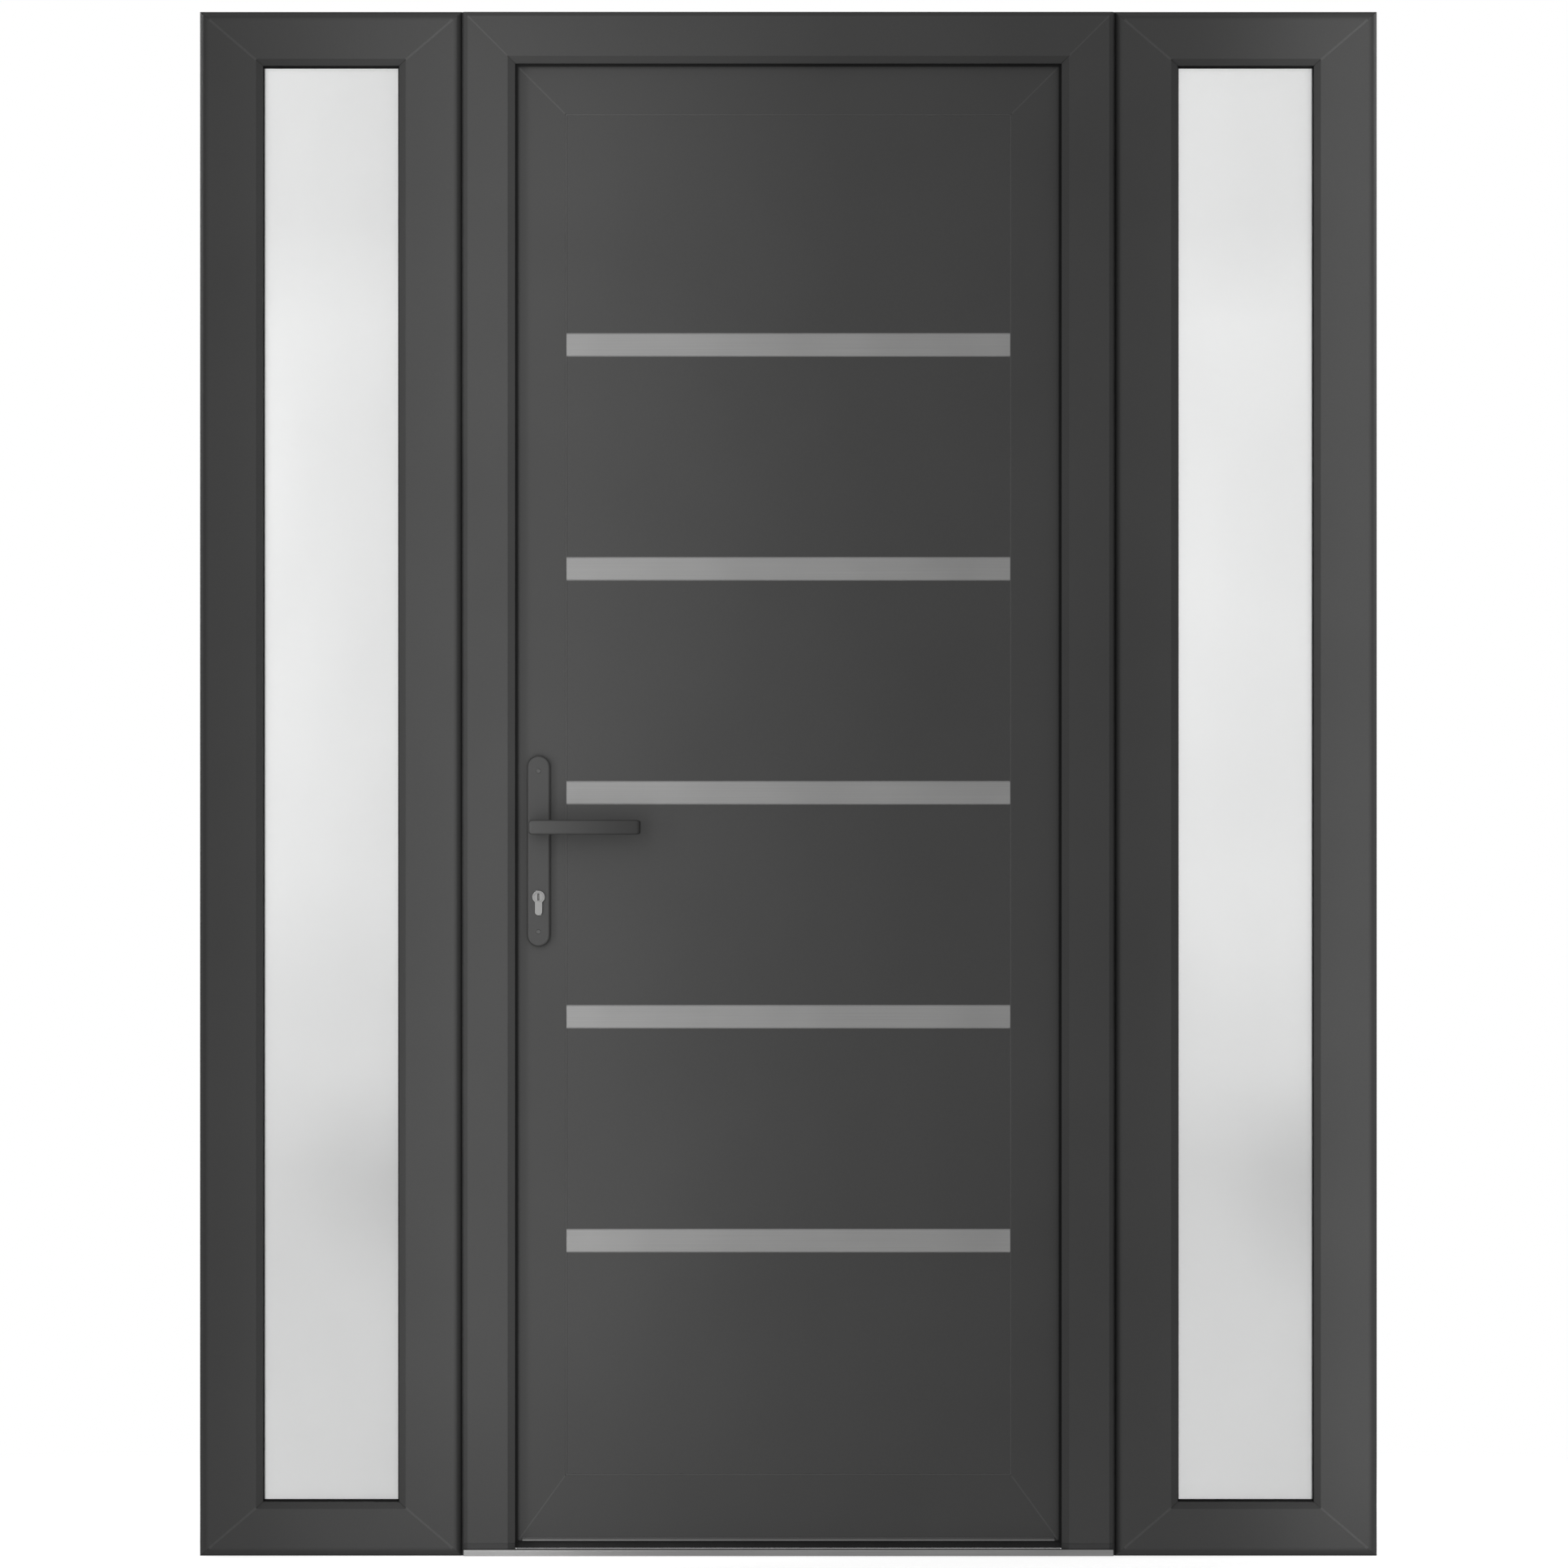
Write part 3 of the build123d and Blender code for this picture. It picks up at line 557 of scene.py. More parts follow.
paint(rubber, "frame_gasket")
low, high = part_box("frame_gasket")
bulb("frame_gasket_bulb", [arch(low, high, high.y + BULB_RADIUS - BULB_SINK)], "frame")

# Strike plates: pressed zinc-plated steel, let in flush in the latch jamb, each with one slot for a
# bolt. Two countersunk cross-head screws hold each one to the jamb's steel core.
ZINC = (0.42, 0.42, 0.41, 1.0)
ZINC_ROUGHNESS = 0.36
LINES_ALONG_Z = (900.0, 900.0, 10.0)
SCREW_SIDES = 24
SCREW_RADIUS = 3.4 * MM
SCREW_PROUD = 0.55 * MM
SCREW_SINK = 0.4 * MM
SCREW_TOP_SHARE = 0.72
RECESS_SHARE = 0.5
RECESS_WIDTH = 0.9 * MM
RECESS_DEPTH = 0.8 * MM
SCREW_SEED = 11
STRIKE_SCREW_OFFSET = 68.0 * MM
STRIKE_HALF = 85.0 * MM
ZINC_CONTRAST = 0.12

zinc = lined("zinc_plate", ZINC, ZINC_ROUGHNESS, LINES_ALONG_Z, ZINC_CONTRAST, DRAWN_RELIEF)


def faced(tree):
    """The turn that stands an instance up along the way its point faces."""
    facing = out(tree, "GeometryNodeInputNamedAttribute", {"Name": "facing"}, data_type="FLOAT_VECTOR")
    return out(tree, "FunctionNodeAlignRotationToVector", {"Vector": facing}, axis="Z")


screw_measures = ("Head radius", "Proud", "Recess width", "Recess depth")
screw_tree, screw_sockets, given = tree_for("screws", screw_measures, seeded=True)
head = out(
    screw_tree,
    "GeometryNodeMeshCone",
    {
        "Vertices": SCREW_SIDES,
        "Radius Top": sums(screw_tree, "MULTIPLY", given["Head radius"], SCREW_TOP_SHARE),
        "Radius Bottom": given["Head radius"],
        "Depth": sums(screw_tree, "ADD", given["Proud"], SCREW_SINK),
    },
)
sunk = out(screw_tree, "GeometryNodeTransform", {"Geometry": head, "Translation": (0, 0, -SCREW_SINK)})
arm = sums(screw_tree, "MULTIPLY", given["Head radius"], 2 * RECESS_SHARE)
deep = sums(screw_tree, "MULTIPLY", given["Recess depth"], 2.0)
top = out(screw_tree, "ShaderNodeCombineXYZ", {"Z": given["Proud"]})
socketed = sunk
for quarter in (0, math.pi / 2):
    size = out(screw_tree, "ShaderNodeCombineXYZ", {"X": arm, "Y": given["Recess width"], "Z": deep})
    slot_block = out(screw_tree, "GeometryNodeMeshCube", {"Size": size})
    turned = out(
        screw_tree,
        "GeometryNodeTransform",
        {"Geometry": slot_block, "Translation": top, "Rotation": (0, 0, quarter)},
    )
    blocks = {0: socketed, 1: turned}
    socketed = out(screw_tree, "GeometryNodeMeshBoolean", blocks, operation="DIFFERENCE", solver="EXACT")
spin = add(screw_tree, "FunctionNodeRandomValue", {"Seed": given["Seed"]}, data_type="FLOAT")
turn = sums(screw_tree, "MULTIPLY", spin.outputs[1], math.tau)
wrist = out(screw_tree, "FunctionNodeAxisAngleToRotation", {"Axis": (0, 0, 1), "Angle": turn})
held = out(
    screw_tree,
    "FunctionNodeRotateRotation",
    {"Rotation": faced(screw_tree), "Rotate By": wrist},
    rotation_space="LOCAL",
)
driven = out(
    screw_tree,
    "GeometryNodeInstanceOnPoints",
    {"Points": given["Geometry"], "Instance": socketed, "Rotation": held},
)
end_tree(screw_tree, driven, given["Finish"])


def screws(name, places, way, radius, material, body, proud=SCREW_PROUD):
    """A set of cross-head screws that all face one way."""
    values = {
        "Head radius": radius,
        "Proud": proud,
        "Recess width": RECESS_WIDTH,
        "Recess depth": RECESS_DEPTH,
        "Seed": SCREW_SEED,
        "Finish": material,
    }
    start = points(name, places, [way] * len(places))
    grown(name, start, screw_tree, screw_sockets, values, body)


paint(zinc, "strike_plates")
low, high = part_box("strike_plates")
STRIKE_DEPTH = (low.y + high.y) / 2
LEVER_HEIGHT = (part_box("outside_lever")[0].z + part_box("outside_lever")[1].z) / 2
strike_pitch = (high.z - low.z) / 2 - STRIKE_HALF
strike_screws = [
    (high.x, STRIKE_DEPTH, LEVER_HEIGHT + i * strike_pitch + j * STRIKE_SCREW_OFFSET)
    for i in (-1, 0, 1)
    for j in (-1, 1)
]
screws("strike_screws", strike_screws, (1, 0, 0), SCREW_RADIUS, zinc, "frame")

# Coupling strips: black sealing strips pressed into the joints between the door frame and the two
# sidelights. They sit back from the face, so that each joint shows as a dark line.
COUPLING_GREY = (0.038, 0.038, 0.038, 1.0)

coupling_strip = rubbery("coupling_strip", COUPLING_GREY)
paint(coupling_strip, "left_coupling", "right_coupling")

# Sidelight frames: four mitred foil-wrapped profiles to each light, with a rounded outdoor edge and
# a bevel down to the glass, welded at the corners and screwed to the door frame through the joint.
SIDES = {"left": -1, "right": 1}
SIDELIGHT_OUTER = cad_box[1].x
SIDELIGHT_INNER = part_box("right_sidelight_inner_stile")[0].x
STILE_LIP = 83.0 * MM
RAIL_LIP = 71.0 * MM
SIDELIGHT_SEAM_OUTDOORS = (0.15, 0.89)
SIDELIGHT_SEAM_INDOORS = (0.035, 0.76)
SIDELIGHT_WELD_WIDTH = 4.2 * MM

for side in SIDES:
    for member in ("outer_stile", "inner_stile", "head", "sill"):
        eased(f"{side}_sidelight_{member}", "profile", PROFILE_EASE, foil, "frame")

sidelight_seams = []
for sign in SIDES.values():
    for edge, inward in ((SIDELIGHT_INNER, 1), (SIDELIGHT_OUTER, -1)):
        for level, up in ((0.0, 1), (UNIT_HEIGHT, -1)):
            for (near, far), y, outward in (
                (SIDELIGHT_SEAM_OUTDOORS, FRAME_FRONT, -1),
                (SIDELIGHT_SEAM_INDOORS, FRAME_BACK, 1),
            ):
                ends = [
                    (sign * (edge + inward * share * STILE_LIP), y, level + up * share * RAIL_LIP)
                    for share in (near, far)
                ]
                sidelight_seams.append((*ends, outward))
weld_beads("sidelight_welds", sidelight_seams, "frame", SIDELIGHT_WELD_WIDTH)

# Sidelight glazing: a clear pane outdoors and a satin one indoors round an aluminium spacer, bedded on
# black rubber and held by mitred plastic beads. The etched pane has soft, uneven clouds, and painted
# shade: it darkens in bands low down and near the top, in a broad patch and across each pane to the
# right.
GLASS_TINT = (0.803, 0.801, 0.801, 1.0)
GLASS_ROUGHNESS = 0.42
CLEAR_TINT = (0.965, 0.972, 0.970, 1.0)
CLEAR_ROUGHNESS = 0.04
PANE_MIDDLE = sum(corner.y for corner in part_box("left_sidelight_panes")) / 2
GLASS_CLOUDING = 0.018
# Painted shade on the satin pane: tones by height, darker low down and a little darker near the top.
SHADE_BANDS = (
    (0.00, 0.75),
    (0.20, 0.785),
    (0.25, 0.79),
    (0.315, 0.90),
    (0.36, 0.925),
    (0.44, 1.0),
    (0.80, 1.0),
    (0.865, 0.89),
    (1.0, 0.89),
)
SHADE_BAND_DRIFT = 0.04
SHADE_FADE = 0.085
SHADE_PATCH = 0.14
SHADE_PATCH_SIDE = 0.5
SHADE_PATCH_HEIGHT = 0.49
SHADE_PATCH_REACH = (0.9, 0.19)
PANE_OFFSET = sum(corner.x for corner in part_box("right_sidelight_panes")) / 2
PANE_WIDTH = 2 * (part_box("right_sidelight_panes")[1].x - PANE_OFFSET)
CLOUD_STRETCH = (5.0, 0.0, 2.2)
CLOUD_SWING = 0.2
SATIN_DETAIL = 2.0
ETCH_PER_METRE = 1500.0
ETCH_DETAIL = 1.0
ETCH_RELIEF = 0.05
ETCH_DEPTH = 0.05 * MM
GLASS_IOR = 1.5
SPACER_GREY = (0.48, 0.48, 0.48, 1.0)
SPACER_ROUGHNESS = 0.4
SMOOTH_CONTRAST = 0.08
SMOOTH_RELIEF = 0.05
BEAD_EASE = 0.6 * MM
LIP_RADIUS = 1.3 * MM

clouds_and_shade, given = surface_group(
    "satin_clouds_and_painted_shade",
    [
        ("Color", "Color", GLASS_TINT),
        ("Roughness", "Float", GLASS_ROUGHNESS),
        ("Clouding", "Float", GLASS_CLOUDING),
        ("Clear color", "Color", CLEAR_TINT),
        ("Clear roughness", "Float", CLEAR_ROUGHNESS),
        ("Pane middle", "Float", PANE_MIDDLE),
    ],
)
spot = add(clouds_and_shade, "ShaderNodeTexCoord").outputs["Object"]
broad = out(clouds_and_shade, "ShaderNodeMapping", {"Vector": spot, "Scale": CLOUD_STRETCH})
cloud = noise(clouds_and_shade, broad, 1.0, SATIN_DETAIL)
etch = noise(clouds_and_shade, spot, ETCH_PER_METRE, ETCH_DETAIL)
place = add(clouds_and_shade, "ShaderNodeSeparateXYZ", {"Vector": spot}).outputs
height = place["Z"]
etched = sums(clouds_and_shade, "GREATER_THAN", place["Y"], given["Pane middle"])
drift = sums(clouds_and_shade, "MULTIPLY_ADD", cloud, SHADE_BAND_DRIFT, -SHADE_BAND_DRIFT / 2)
# Painted shade: the tone bands darken the satin pane low down and near the top.
level = sums(clouds_and_shade, "MULTIPLY_ADD", height, 1 / UNIT_HEIGHT, drift)
bands = add(clouds_and_shade, "ShaderNodeValToRGB", {"Fac": level})
for (share, tone), stop in zip(
    SHADE_BANDS,
    [*bands.color_ramp.elements, *[bands.color_ramp.elements.new(0.5) for i in SHADE_BANDS[2:]]],
):
    stop.position = share
    stop.color = (tone, tone, tone, 1.0)
toned = out(
    clouds_and_shade,
    "ShaderNodeVectorMath",
    {0: given["Color"], 1: bands.outputs["Color"]},
    operation="MULTIPLY",
)
pane_x = sums(clouds_and_shade, "MULTIPLY", sums(clouds_and_shade, "SIGN", place["X"]), PANE_OFFSET)
across = sums(clouds_and_shade, "DIVIDE", sums(clouds_and_shade, "SUBTRACT", place["X"], pane_x), PANE_WIDTH)
beside = sums(
    clouds_and_shade, "DIVIDE", sums(clouds_and_shade, "SUBTRACT", across, SHADE_PATCH_SIDE), SHADE_PATCH_REACH[0]
)
above = sums(
    clouds_and_shade, "DIVIDE", sums(clouds_and_shade, "SUBTRACT", height, SHADE_PATCH_HEIGHT), SHADE_PATCH_REACH[1]
)
away = sums(
    clouds_and_shade,
    "SQRT",
    sums(clouds_and_shade, "ADD", sums(clouds_and_shade, "POWER", beside, 2.0), sums(clouds_and_shade, "POWER", above, 2.0)),
)
# Painted shade: a broad darker patch at the right of each pane, and a fade darker to the right.
patch_range = (1.0 - SHADE_PATCH, 1.0)
patch = ranged(clouds_and_shade, away, SHARE_RANGE, patch_range, interpolation_type="SMOOTHSTEP")
fade = sums(clouds_and_shade, "MULTIPLY_ADD", across, -SHADE_FADE, 1.0 - SHADE_FADE / 2)
shaded = scaled(clouds_and_shade, toned, sums(clouds_and_shade, "MULTIPLY", patch, fade))
satin_color = varied(clouds_and_shade, shaded, given["Clouding"], cloud)
satin_roughness = swung(clouds_and_shade, given["Roughness"], cloud, CLOUD_SWING)
pane_color = add(
    clouds_and_shade,
    "ShaderNodeMix",
    {"Factor": etched, "A": given["Clear color"], "B": satin_color},
    data_type="RGBA",
)
pane_roughness = ranged(clouds_and_shade, etched, SHARE_RANGE, (given["Clear roughness"], satin_roughness))
put_out(clouds_and_shade, pane_color.outputs[2], pane_roughness, sums(clouds_and_shade, "MULTIPLY", etch, etched))
clear = {"Transmission Weight": 1.0, "IOR": GLASS_IOR}
satin_glass = finish("satin_glass", clouds_and_shade, {}, ETCH_RELIEF, ETCH_DEPTH, clear)
spacer_bar = lined(
    "spacer_bar", SPACER_GREY, SPACER_ROUGHNESS, LINES_ALONG_Z, SMOOTH_CONTRAST, SMOOTH_RELIEF
)
glazing_lips = []
for side, sign in SIDES.items():
    paint(rubber, f"{side}_sidelight_gasket")
    paint(satin_glass, f"{side}_sidelight_panes")
    paint(spacer_bar, f"{side}_sidelight_spacer")
    eased(f"{side}_sidelight_beads", "profiles", BEAD_EASE, foil, "frame")
    inner, outer = sorted((sign * SIDELIGHT_INNER, sign * SIDELIGHT_OUTER))
    glass_sides = (inner + STILE_LIP, outer - STILE_LIP, RAIL_LIP, UNIT_HEIGHT - RAIL_LIP)
    lip_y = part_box(f"{side}_sidelight_panes")[1].y + LIP_RADIUS / 2
    glazing_lips.append(hoop(*glass_sides, lip_y, LIP_RADIUS / 2))
bulb("glazing_lips", glazing_lips, "frame", LIP_RADIUS, LIP_RADIUS, closed=True)

# Leaf frame: two stiles and two rails of a deeper foil-wrapped profile, mitred and welded. The indoor
# overlap laps the door frame on three sides, and the deep bottom rail stands clear of the threshold.
LEAF_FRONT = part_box("leaf_top_rail")[0].y
LEAF_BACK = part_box("leaf_top_rail")[1].y
LEAF_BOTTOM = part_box("leaf_bottom_rail")[0].z
LEAF_SEAM_OUTDOORS = (66.0 * MM, 133.3 * MM)
LEAF_SEAM_INDOORS = (41.0 * MM, 116.0 * MM)
BOTTOM_SEAM_EDGE = 71.5 * MM
BOTTOM_SEAM_RUN = 63.0 * MM
BOTTOM_SEAM_RISE = 87.0 * MM
BOTTOM_SEAM_OUTDOORS = (0.02, 0.985)
BOTTOM_SEAM_INDOORS = (0.02, 0.70)

for name in ("leaf_latch_stile", "leaf_hinge_stile", "leaf_top_rail", "leaf_bottom_rail"):
    eased(name, "profile", PROFILE_EASE, foil, "leaf")

leaf_seams = []
for side in (-1, 1):
    for (near, far), (first, last), y, outward in (
        (LEAF_SEAM_OUTDOORS, BOTTOM_SEAM_OUTDOORS, LEAF_FRONT, -1),
        (LEAF_SEAM_INDOORS, BOTTOM_SEAM_INDOORS, LEAF_BACK, 1),
    ):
        upper = [(side * (DOOR_EDGE - u), y, UNIT_HEIGHT - u) for u in (near, far)]
        lower = [
            (
                side * (DOOR_EDGE - BOTTOM_SEAM_EDGE - share * BOTTOM_SEAM_RUN),
                y,
                LEAF_BOTTOM + share * BOTTOM_SEAM_RISE,
            )
            for share in (first, last)
        ]
        leaf_seams.append((*upper, outward))
        leaf_seams.append((*lower, outward))
weld_beads("leaf_welds", leaf_seams, "leaf")

# Leaf seals: a rubber gasket with a bulb on the overlap, a solid rubber seal under the bottom rail,
# and a coated aluminium drip bar that throws rain clear of the threshold.
DRIP_GREY = (0.115, 0.115, 0.114, 1.0)
DRIP_ROUGHNESS = 0.42
DRIP_EASE = 0.3 * MM
BRUSHED_RELIEF = 0.06
BOTTOM_STRIP_GREY = (0.034, 0.034, 0.034, 1.0)
BOTTOM_STRIP_MOTTLING = 0.3

drip_coat = lined(
    "drip_coat", DRIP_GREY, DRIP_ROUGHNESS, LINES_ALONG_X, LINE_CONTRAST, BRUSHED_RELIEF, metallic=0.0
)
bottom_strip = rubbery("bottom_strip", BOTTOM_STRIP_GREY, BOTTOM_STRIP_MOTTLING)
paint(rubber, "leaf_gasket")
paint(bottom_strip, "bottom_seal")
eased("drip_bar", "extrusion", DRIP_EASE, drip_coat, "leaf")
low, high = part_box("leaf_gasket")
bulb("leaf_gasket_bulb", [arch(low, high, low.y - BULB_RADIUS + BULB_SINK)], "leaf")

# Panel: a flush foam-cored infill with plastic skins in the colour of the foil, set in the leaf from
# indoors, with mitred beads behind it. A thin grey rubber lip closes the joint outdoors, a black one
# indoors; the grey is a shade lighter than the foil as a painted highlight along the joint. Its skin
# is a little smoother than the profiles.
PANEL_GREY = (0.0530, 0.0530, 0.0526, 1.0)
PANEL_ROUGHNESS = 0.48
PANEL_GRAIN = 520.0
PANEL_MOTTLING = 0.04
PANEL_EASE = 0.35 * MM
PANEL_COVER = 15.0 * MM
# The lip's grey, made a shade lighter than the foil as a painted highlight along the panel joint.
PANEL_LIP_GREY = (0.069, 0.069, 0.0685, 1.0)
PANEL_LIP_MOTTLING = 0.08
PANEL_LIP_RADIUS = 1.5 * MM
PANEL_LIP_INSET = 0.1 * MM
PANEL_LIP_SINK = 0.55 * MM

panel_skin = grained("panel_skin", PANEL_GREY, PANEL_ROUGHNESS, PANEL_GRAIN, PANEL_MOTTLING)
grey_lip = grained("grey_lip", PANEL_LIP_GREY, WELD_ROUGHNESS, FOIL_GRAIN, PANEL_LIP_MOTTLING)
eased("door_panel", "skins", PANEL_EASE, panel_skin, "leaf")
eased("panel_beads", "profiles", BEAD_EASE, foil, "leaf")
low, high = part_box("door_panel")
panel_x = high.x - PANEL_COVER
panel_sides = (-panel_x, panel_x, low.z + PANEL_COVER, high.z - PANEL_COVER)
panel_lip = hoop(*panel_sides, low.y + PANEL_LIP_SINK, PANEL_LIP_INSET)
bulb("panel_lip", [panel_lip], "leaf", PANEL_LIP_RADIUS, PANEL_LIP_RADIUS, grey_lip, closed=True)
bead_lip = hoop(*panel_sides, high.y + LIP_RADIUS / 2, LIP_RADIUS / 2)
bulb("panel_bead_lip", [bead_lip], "leaf", LIP_RADIUS, LIP_RADIUS, closed=True)

# Inlay strips: flat bars of stainless steel brushed along their length, with bevelled edges, bonded
# into the panel's skins in five level rows on both faces.
STEEL = (0.287, 0.287, 0.285, 1.0)
STEEL_ROUGHNESS = 0.75
STEEL_LINES = (4.0, 1600.0, 1600.0)
STRIP_EASE = 0.2 * MM

brushed_steel = lined("brushed_steel", STEEL, STEEL_ROUGHNESS, STEEL_LINES, LINE_CONTRAST, BRUSHED_RELIEF)
for name in ("outside_inlay_strips", "inside_inlay_strips"):
    eased(name, "bars", STRIP_EASE, brushed_steel, "leaf")

# Hinges: three pairs of powder-coated knuckles indoors, the lower one with the pin on the frame and
# the upper one on the leaf. Cross-head screws hold their plates, and a pressed cap shuts each end.
COAT_GREY = (0.034, 0.034, 0.0337, 1.0)
COAT_ROUGHNESS = 0.46
COAT_SPECULAR = 0.22
COAT_GRAIN = 1100.0
COAT_MOTTLING = 0.08
COAT_RELIEF = 0.15
HINGE_EASE = 0.7 * MM
HINGE_COUNT = 3
HINGE_LENGTH = 50.0 * MM
CAP_RADIUS = 7.8 * MM
CAP_TOP_RADIUS = 5.6 * MM
CAP_HEIGHT = 2.2 * MM
CAP_SIDES = 32
HINGE_SCREW_RADIUS = 3.0 * MM
FRAME_PLATE_SCREW_IN = 4.6 * MM
FRAME_PLATE_SCREWS = (12.0 * MM, 38.0 * MM)
LEAF_PLATE_SCREWS_IN = (9.0 * MM, 34.0 * MM)
LEAF_PLATE_SCREWS = (13.0 * MM, 37.5 * MM)
PLATE_THICKNESS = 4.0 * MM

powder_coat = grained(
    "powder_coat", COAT_GREY, COAT_ROUGHNESS, COAT_GRAIN, COAT_MOTTLING, COAT_RELIEF, COAT_SPECULAR
)
eased("hinge_frame_halves", "castings", HINGE_EASE, powder_coat, "frame")
eased("hinge_leaf_halves", "castings", HINGE_EASE, powder_coat, "leaf")

cap_tree, cap_sockets, given = tree_for("hinge_caps", ("Radius", "Top radius", "Height"))
dome = out(
    cap_tree,
    "GeometryNodeMeshCone",
    {
        "Vertices": CAP_SIDES,
        "Radius Top": given["Top radius"],
        "Radius Bottom": given["Radius"],
        "Depth": given["Height"],
    },
)
pressed = out(
    cap_tree,
    "GeometryNodeInstanceOnPoints",
    {"Points": given["Geometry"], "Instance": dome, "Rotation": faced(cap_tree)},
)
end_tree(cap_tree, pressed, given["Finish"])

hinge_axis = next(joint["pos_m"] for joint in frame["joints"] if joint["name"] == "leaf_swing")
frame_half_low, frame_half_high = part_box("hinge_frame_halves")
leaf_half_low, leaf_half_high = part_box("hinge_leaf_halves")
hinge_first = frame_half_low.z + HINGE_LENGTH
hinge_last = leaf_half_high.z - HINGE_LENGTH
hinge_places = [
    hinge_first + (hinge_last - hinge_first) * i / (HINGE_COUNT - 1) for i in range(HINGE_COUNT)
]
cap_values = {
    "Radius": CAP_RADIUS,
    "Top radius": CAP_TOP_RADIUS,
    "Height": CAP_HEIGHT,
    "Finish": powder_coat,
}
for body, reach, way in (("frame", -HINGE_LENGTH, -1), ("leaf", HINGE_LENGTH, 1)):
    name = f"hinge_{body}_caps"
    places = [(hinge_axis[0], hinge_axis[1], z + reach) for z in hinge_places]
    start = points(name, places, [(0, 0, way)] * HINGE_COUNT)
    grown(name, start, cap_tree, cap_sockets, cap_values, body)

frame_plate_face = FRAME_BACK + PLATE_THICKNESS
leaf_plate_face = LEAF_BACK + PLATE_THICKNESS
frame_hinge_screws = [
    (frame_half_high.x - FRAME_PLATE_SCREW_IN, frame_plate_face, z - drop)
    for z in hinge_places
    for drop in FRAME_PLATE_SCREWS
]
leaf_hinge_screws = [
    (leaf_half_low.x + along, leaf_plate_face, z + rise)
    for z in hinge_places
    for along in LEAF_PLATE_SCREWS_IN
    for rise in LEAF_PLATE_SCREWS
]
screws(
    "hinge_frame_screws", frame_hinge_screws, (0, 1, 0), HINGE_SCREW_RADIUS, zinc, "frame"
)
screws("hinge_leaf_screws", leaf_hinge_screws, (0, 1, 0), HINGE_SCREW_RADIUS, zinc, "leaf")

# Lock: a long zinc-plated faceplate in the edge of the latch stile with its row of screws, the nose
# of the sprung latch, the drawn-in ends of the bolt and of two hooks in their slots, and a satin nickel
# profile cylinder with a keyway on both faces. The slots are dark blocks a little proud of the
# faceplate, painted shade for the gaps round the bolt ends, in the dark steel of the lock case.
NICKEL = (0.138, 0.138, 0.136, 1.0)
NICKEL_ROUGHNESS = 0.38
NICKEL_LINES = (1200.0, 1200.0, 60.0)
LATCH_EASE = 0.4 * MM
CYLINDER_EASE = 0.3 * MM
FACEPLATE_SCREW_COUNT = 8
FACEPLATE_SCREW_END = 45.0 * MM
FACEPLATE_SCREW_RADIUS = 3.2 * MM
PLUG_RADIUS = 6.4 * MM
PLUG_RING = 0.45 * MM
PLUG_PROUD = 0.25 * MM
PLUG_SHOULDER = 0.6 * PLUG_PROUD
PLUG_SIDES = 40
CASE_AND_SLOT_SHADE_GREY = (0.03, 0.03, 0.03, 1.0)
CASE_ROUGHNESS = 0.5
CASE_LINES = (60.0, 60.0, 60.0)
CASE_CONTRAST = 0.2
BOLT_DROP = 64.0 * MM
HOOK_OFFSET = 640.0 * MM
BOLT_ENDS = (
    (LEVER_HEIGHT - HOOK_OFFSET, 9.0 * MM, 54.0 * MM),
    (LEVER_HEIGHT - BOLT_DROP, 11.0 * MM, 22.0 * MM),
    (LEVER_HEIGHT + HOOK_OFFSET, 9.0 * MM, 54.0 * MM),
)
BOLT_PROUD = 0.9 * MM
BOLT_EASE = 0.4 * MM
SLOT_PROUD = 0.12 * MM
SLOT_MARGIN = 0.8 * MM
SQUARE = ((-1, -1), (1, -1), (1, 1), (-1, 1))

satin_nickel = lined(
    "satin_nickel", NICKEL, NICKEL_ROUGHNESS, NICKEL_LINES, SMOOTH_CONTRAST, SMOOTH_RELIEF
)
paint(zinc, "lock_faceplate")
eased("latch_bolt", "nose", LATCH_EASE, zinc, "leaf")
eased("lock_cylinder", "body", CYLINDER_EASE, satin_nickel, "leaf")
low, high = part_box("lock_faceplate")
faceplate_step = (high.z - low.z - 2 * FACEPLATE_SCREW_END) / (FACEPLATE_SCREW_COUNT - 1)
faceplate_screws = [
    (low.x, (low.y + high.y) / 2, low.z + FACEPLATE_SCREW_END + i * faceplate_step)
    for i in range(FACEPLATE_SCREW_COUNT)
]
screws(
    "faceplate_screws", faceplate_screws, (-1, 0, 0), FACEPLATE_SCREW_RADIUS, zinc, "leaf"
)

# The dark steel of the lock case, also used as painted shade in the slots round the bolt ends.
lock_case_and_slot_shade = lined("lock_case_and_slot_shade", CASE_AND_SLOT_SHADE_GREY, CASE_ROUGHNESS, CASE_LINES, CASE_CONTRAST, SMOOTH_RELIEF)


def edge_blocks(name, proud, margin, ease, material):
    """Blocks in the slots of the faceplate, each a margin larger than its bolt all round."""
    shape = bmesh.new()
    low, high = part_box("lock_faceplate")
    middle = (low.y + high.y) / 2
    for z, width, height in BOLT_ENDS:
        rings = [
            [
                shape.verts.new((x, middle + i * (width / 2 + margin), z + j * (height / 2 + margin)))
                for i, j in SQUARE
            ]
            for x in (low.x - proud, (low.x + high.x) / 2)
        ]
        skinned(shape, rings)
    placed(name, levelled(name, meshed(name + "_rough", shape), ease), material, "leaf")


# Painted shade: dark blocks a little proud of the faceplate stand for the gaps round the bolt ends.
edge_blocks("bolt_slots", SLOT_PROUD, SLOT_MARGIN, SLOT_PROUD / 2, lock_case_and_slot_shade)
edge_blocks("bolt_ends", BOLT_PROUD, 0.0, BOLT_EASE, zinc)


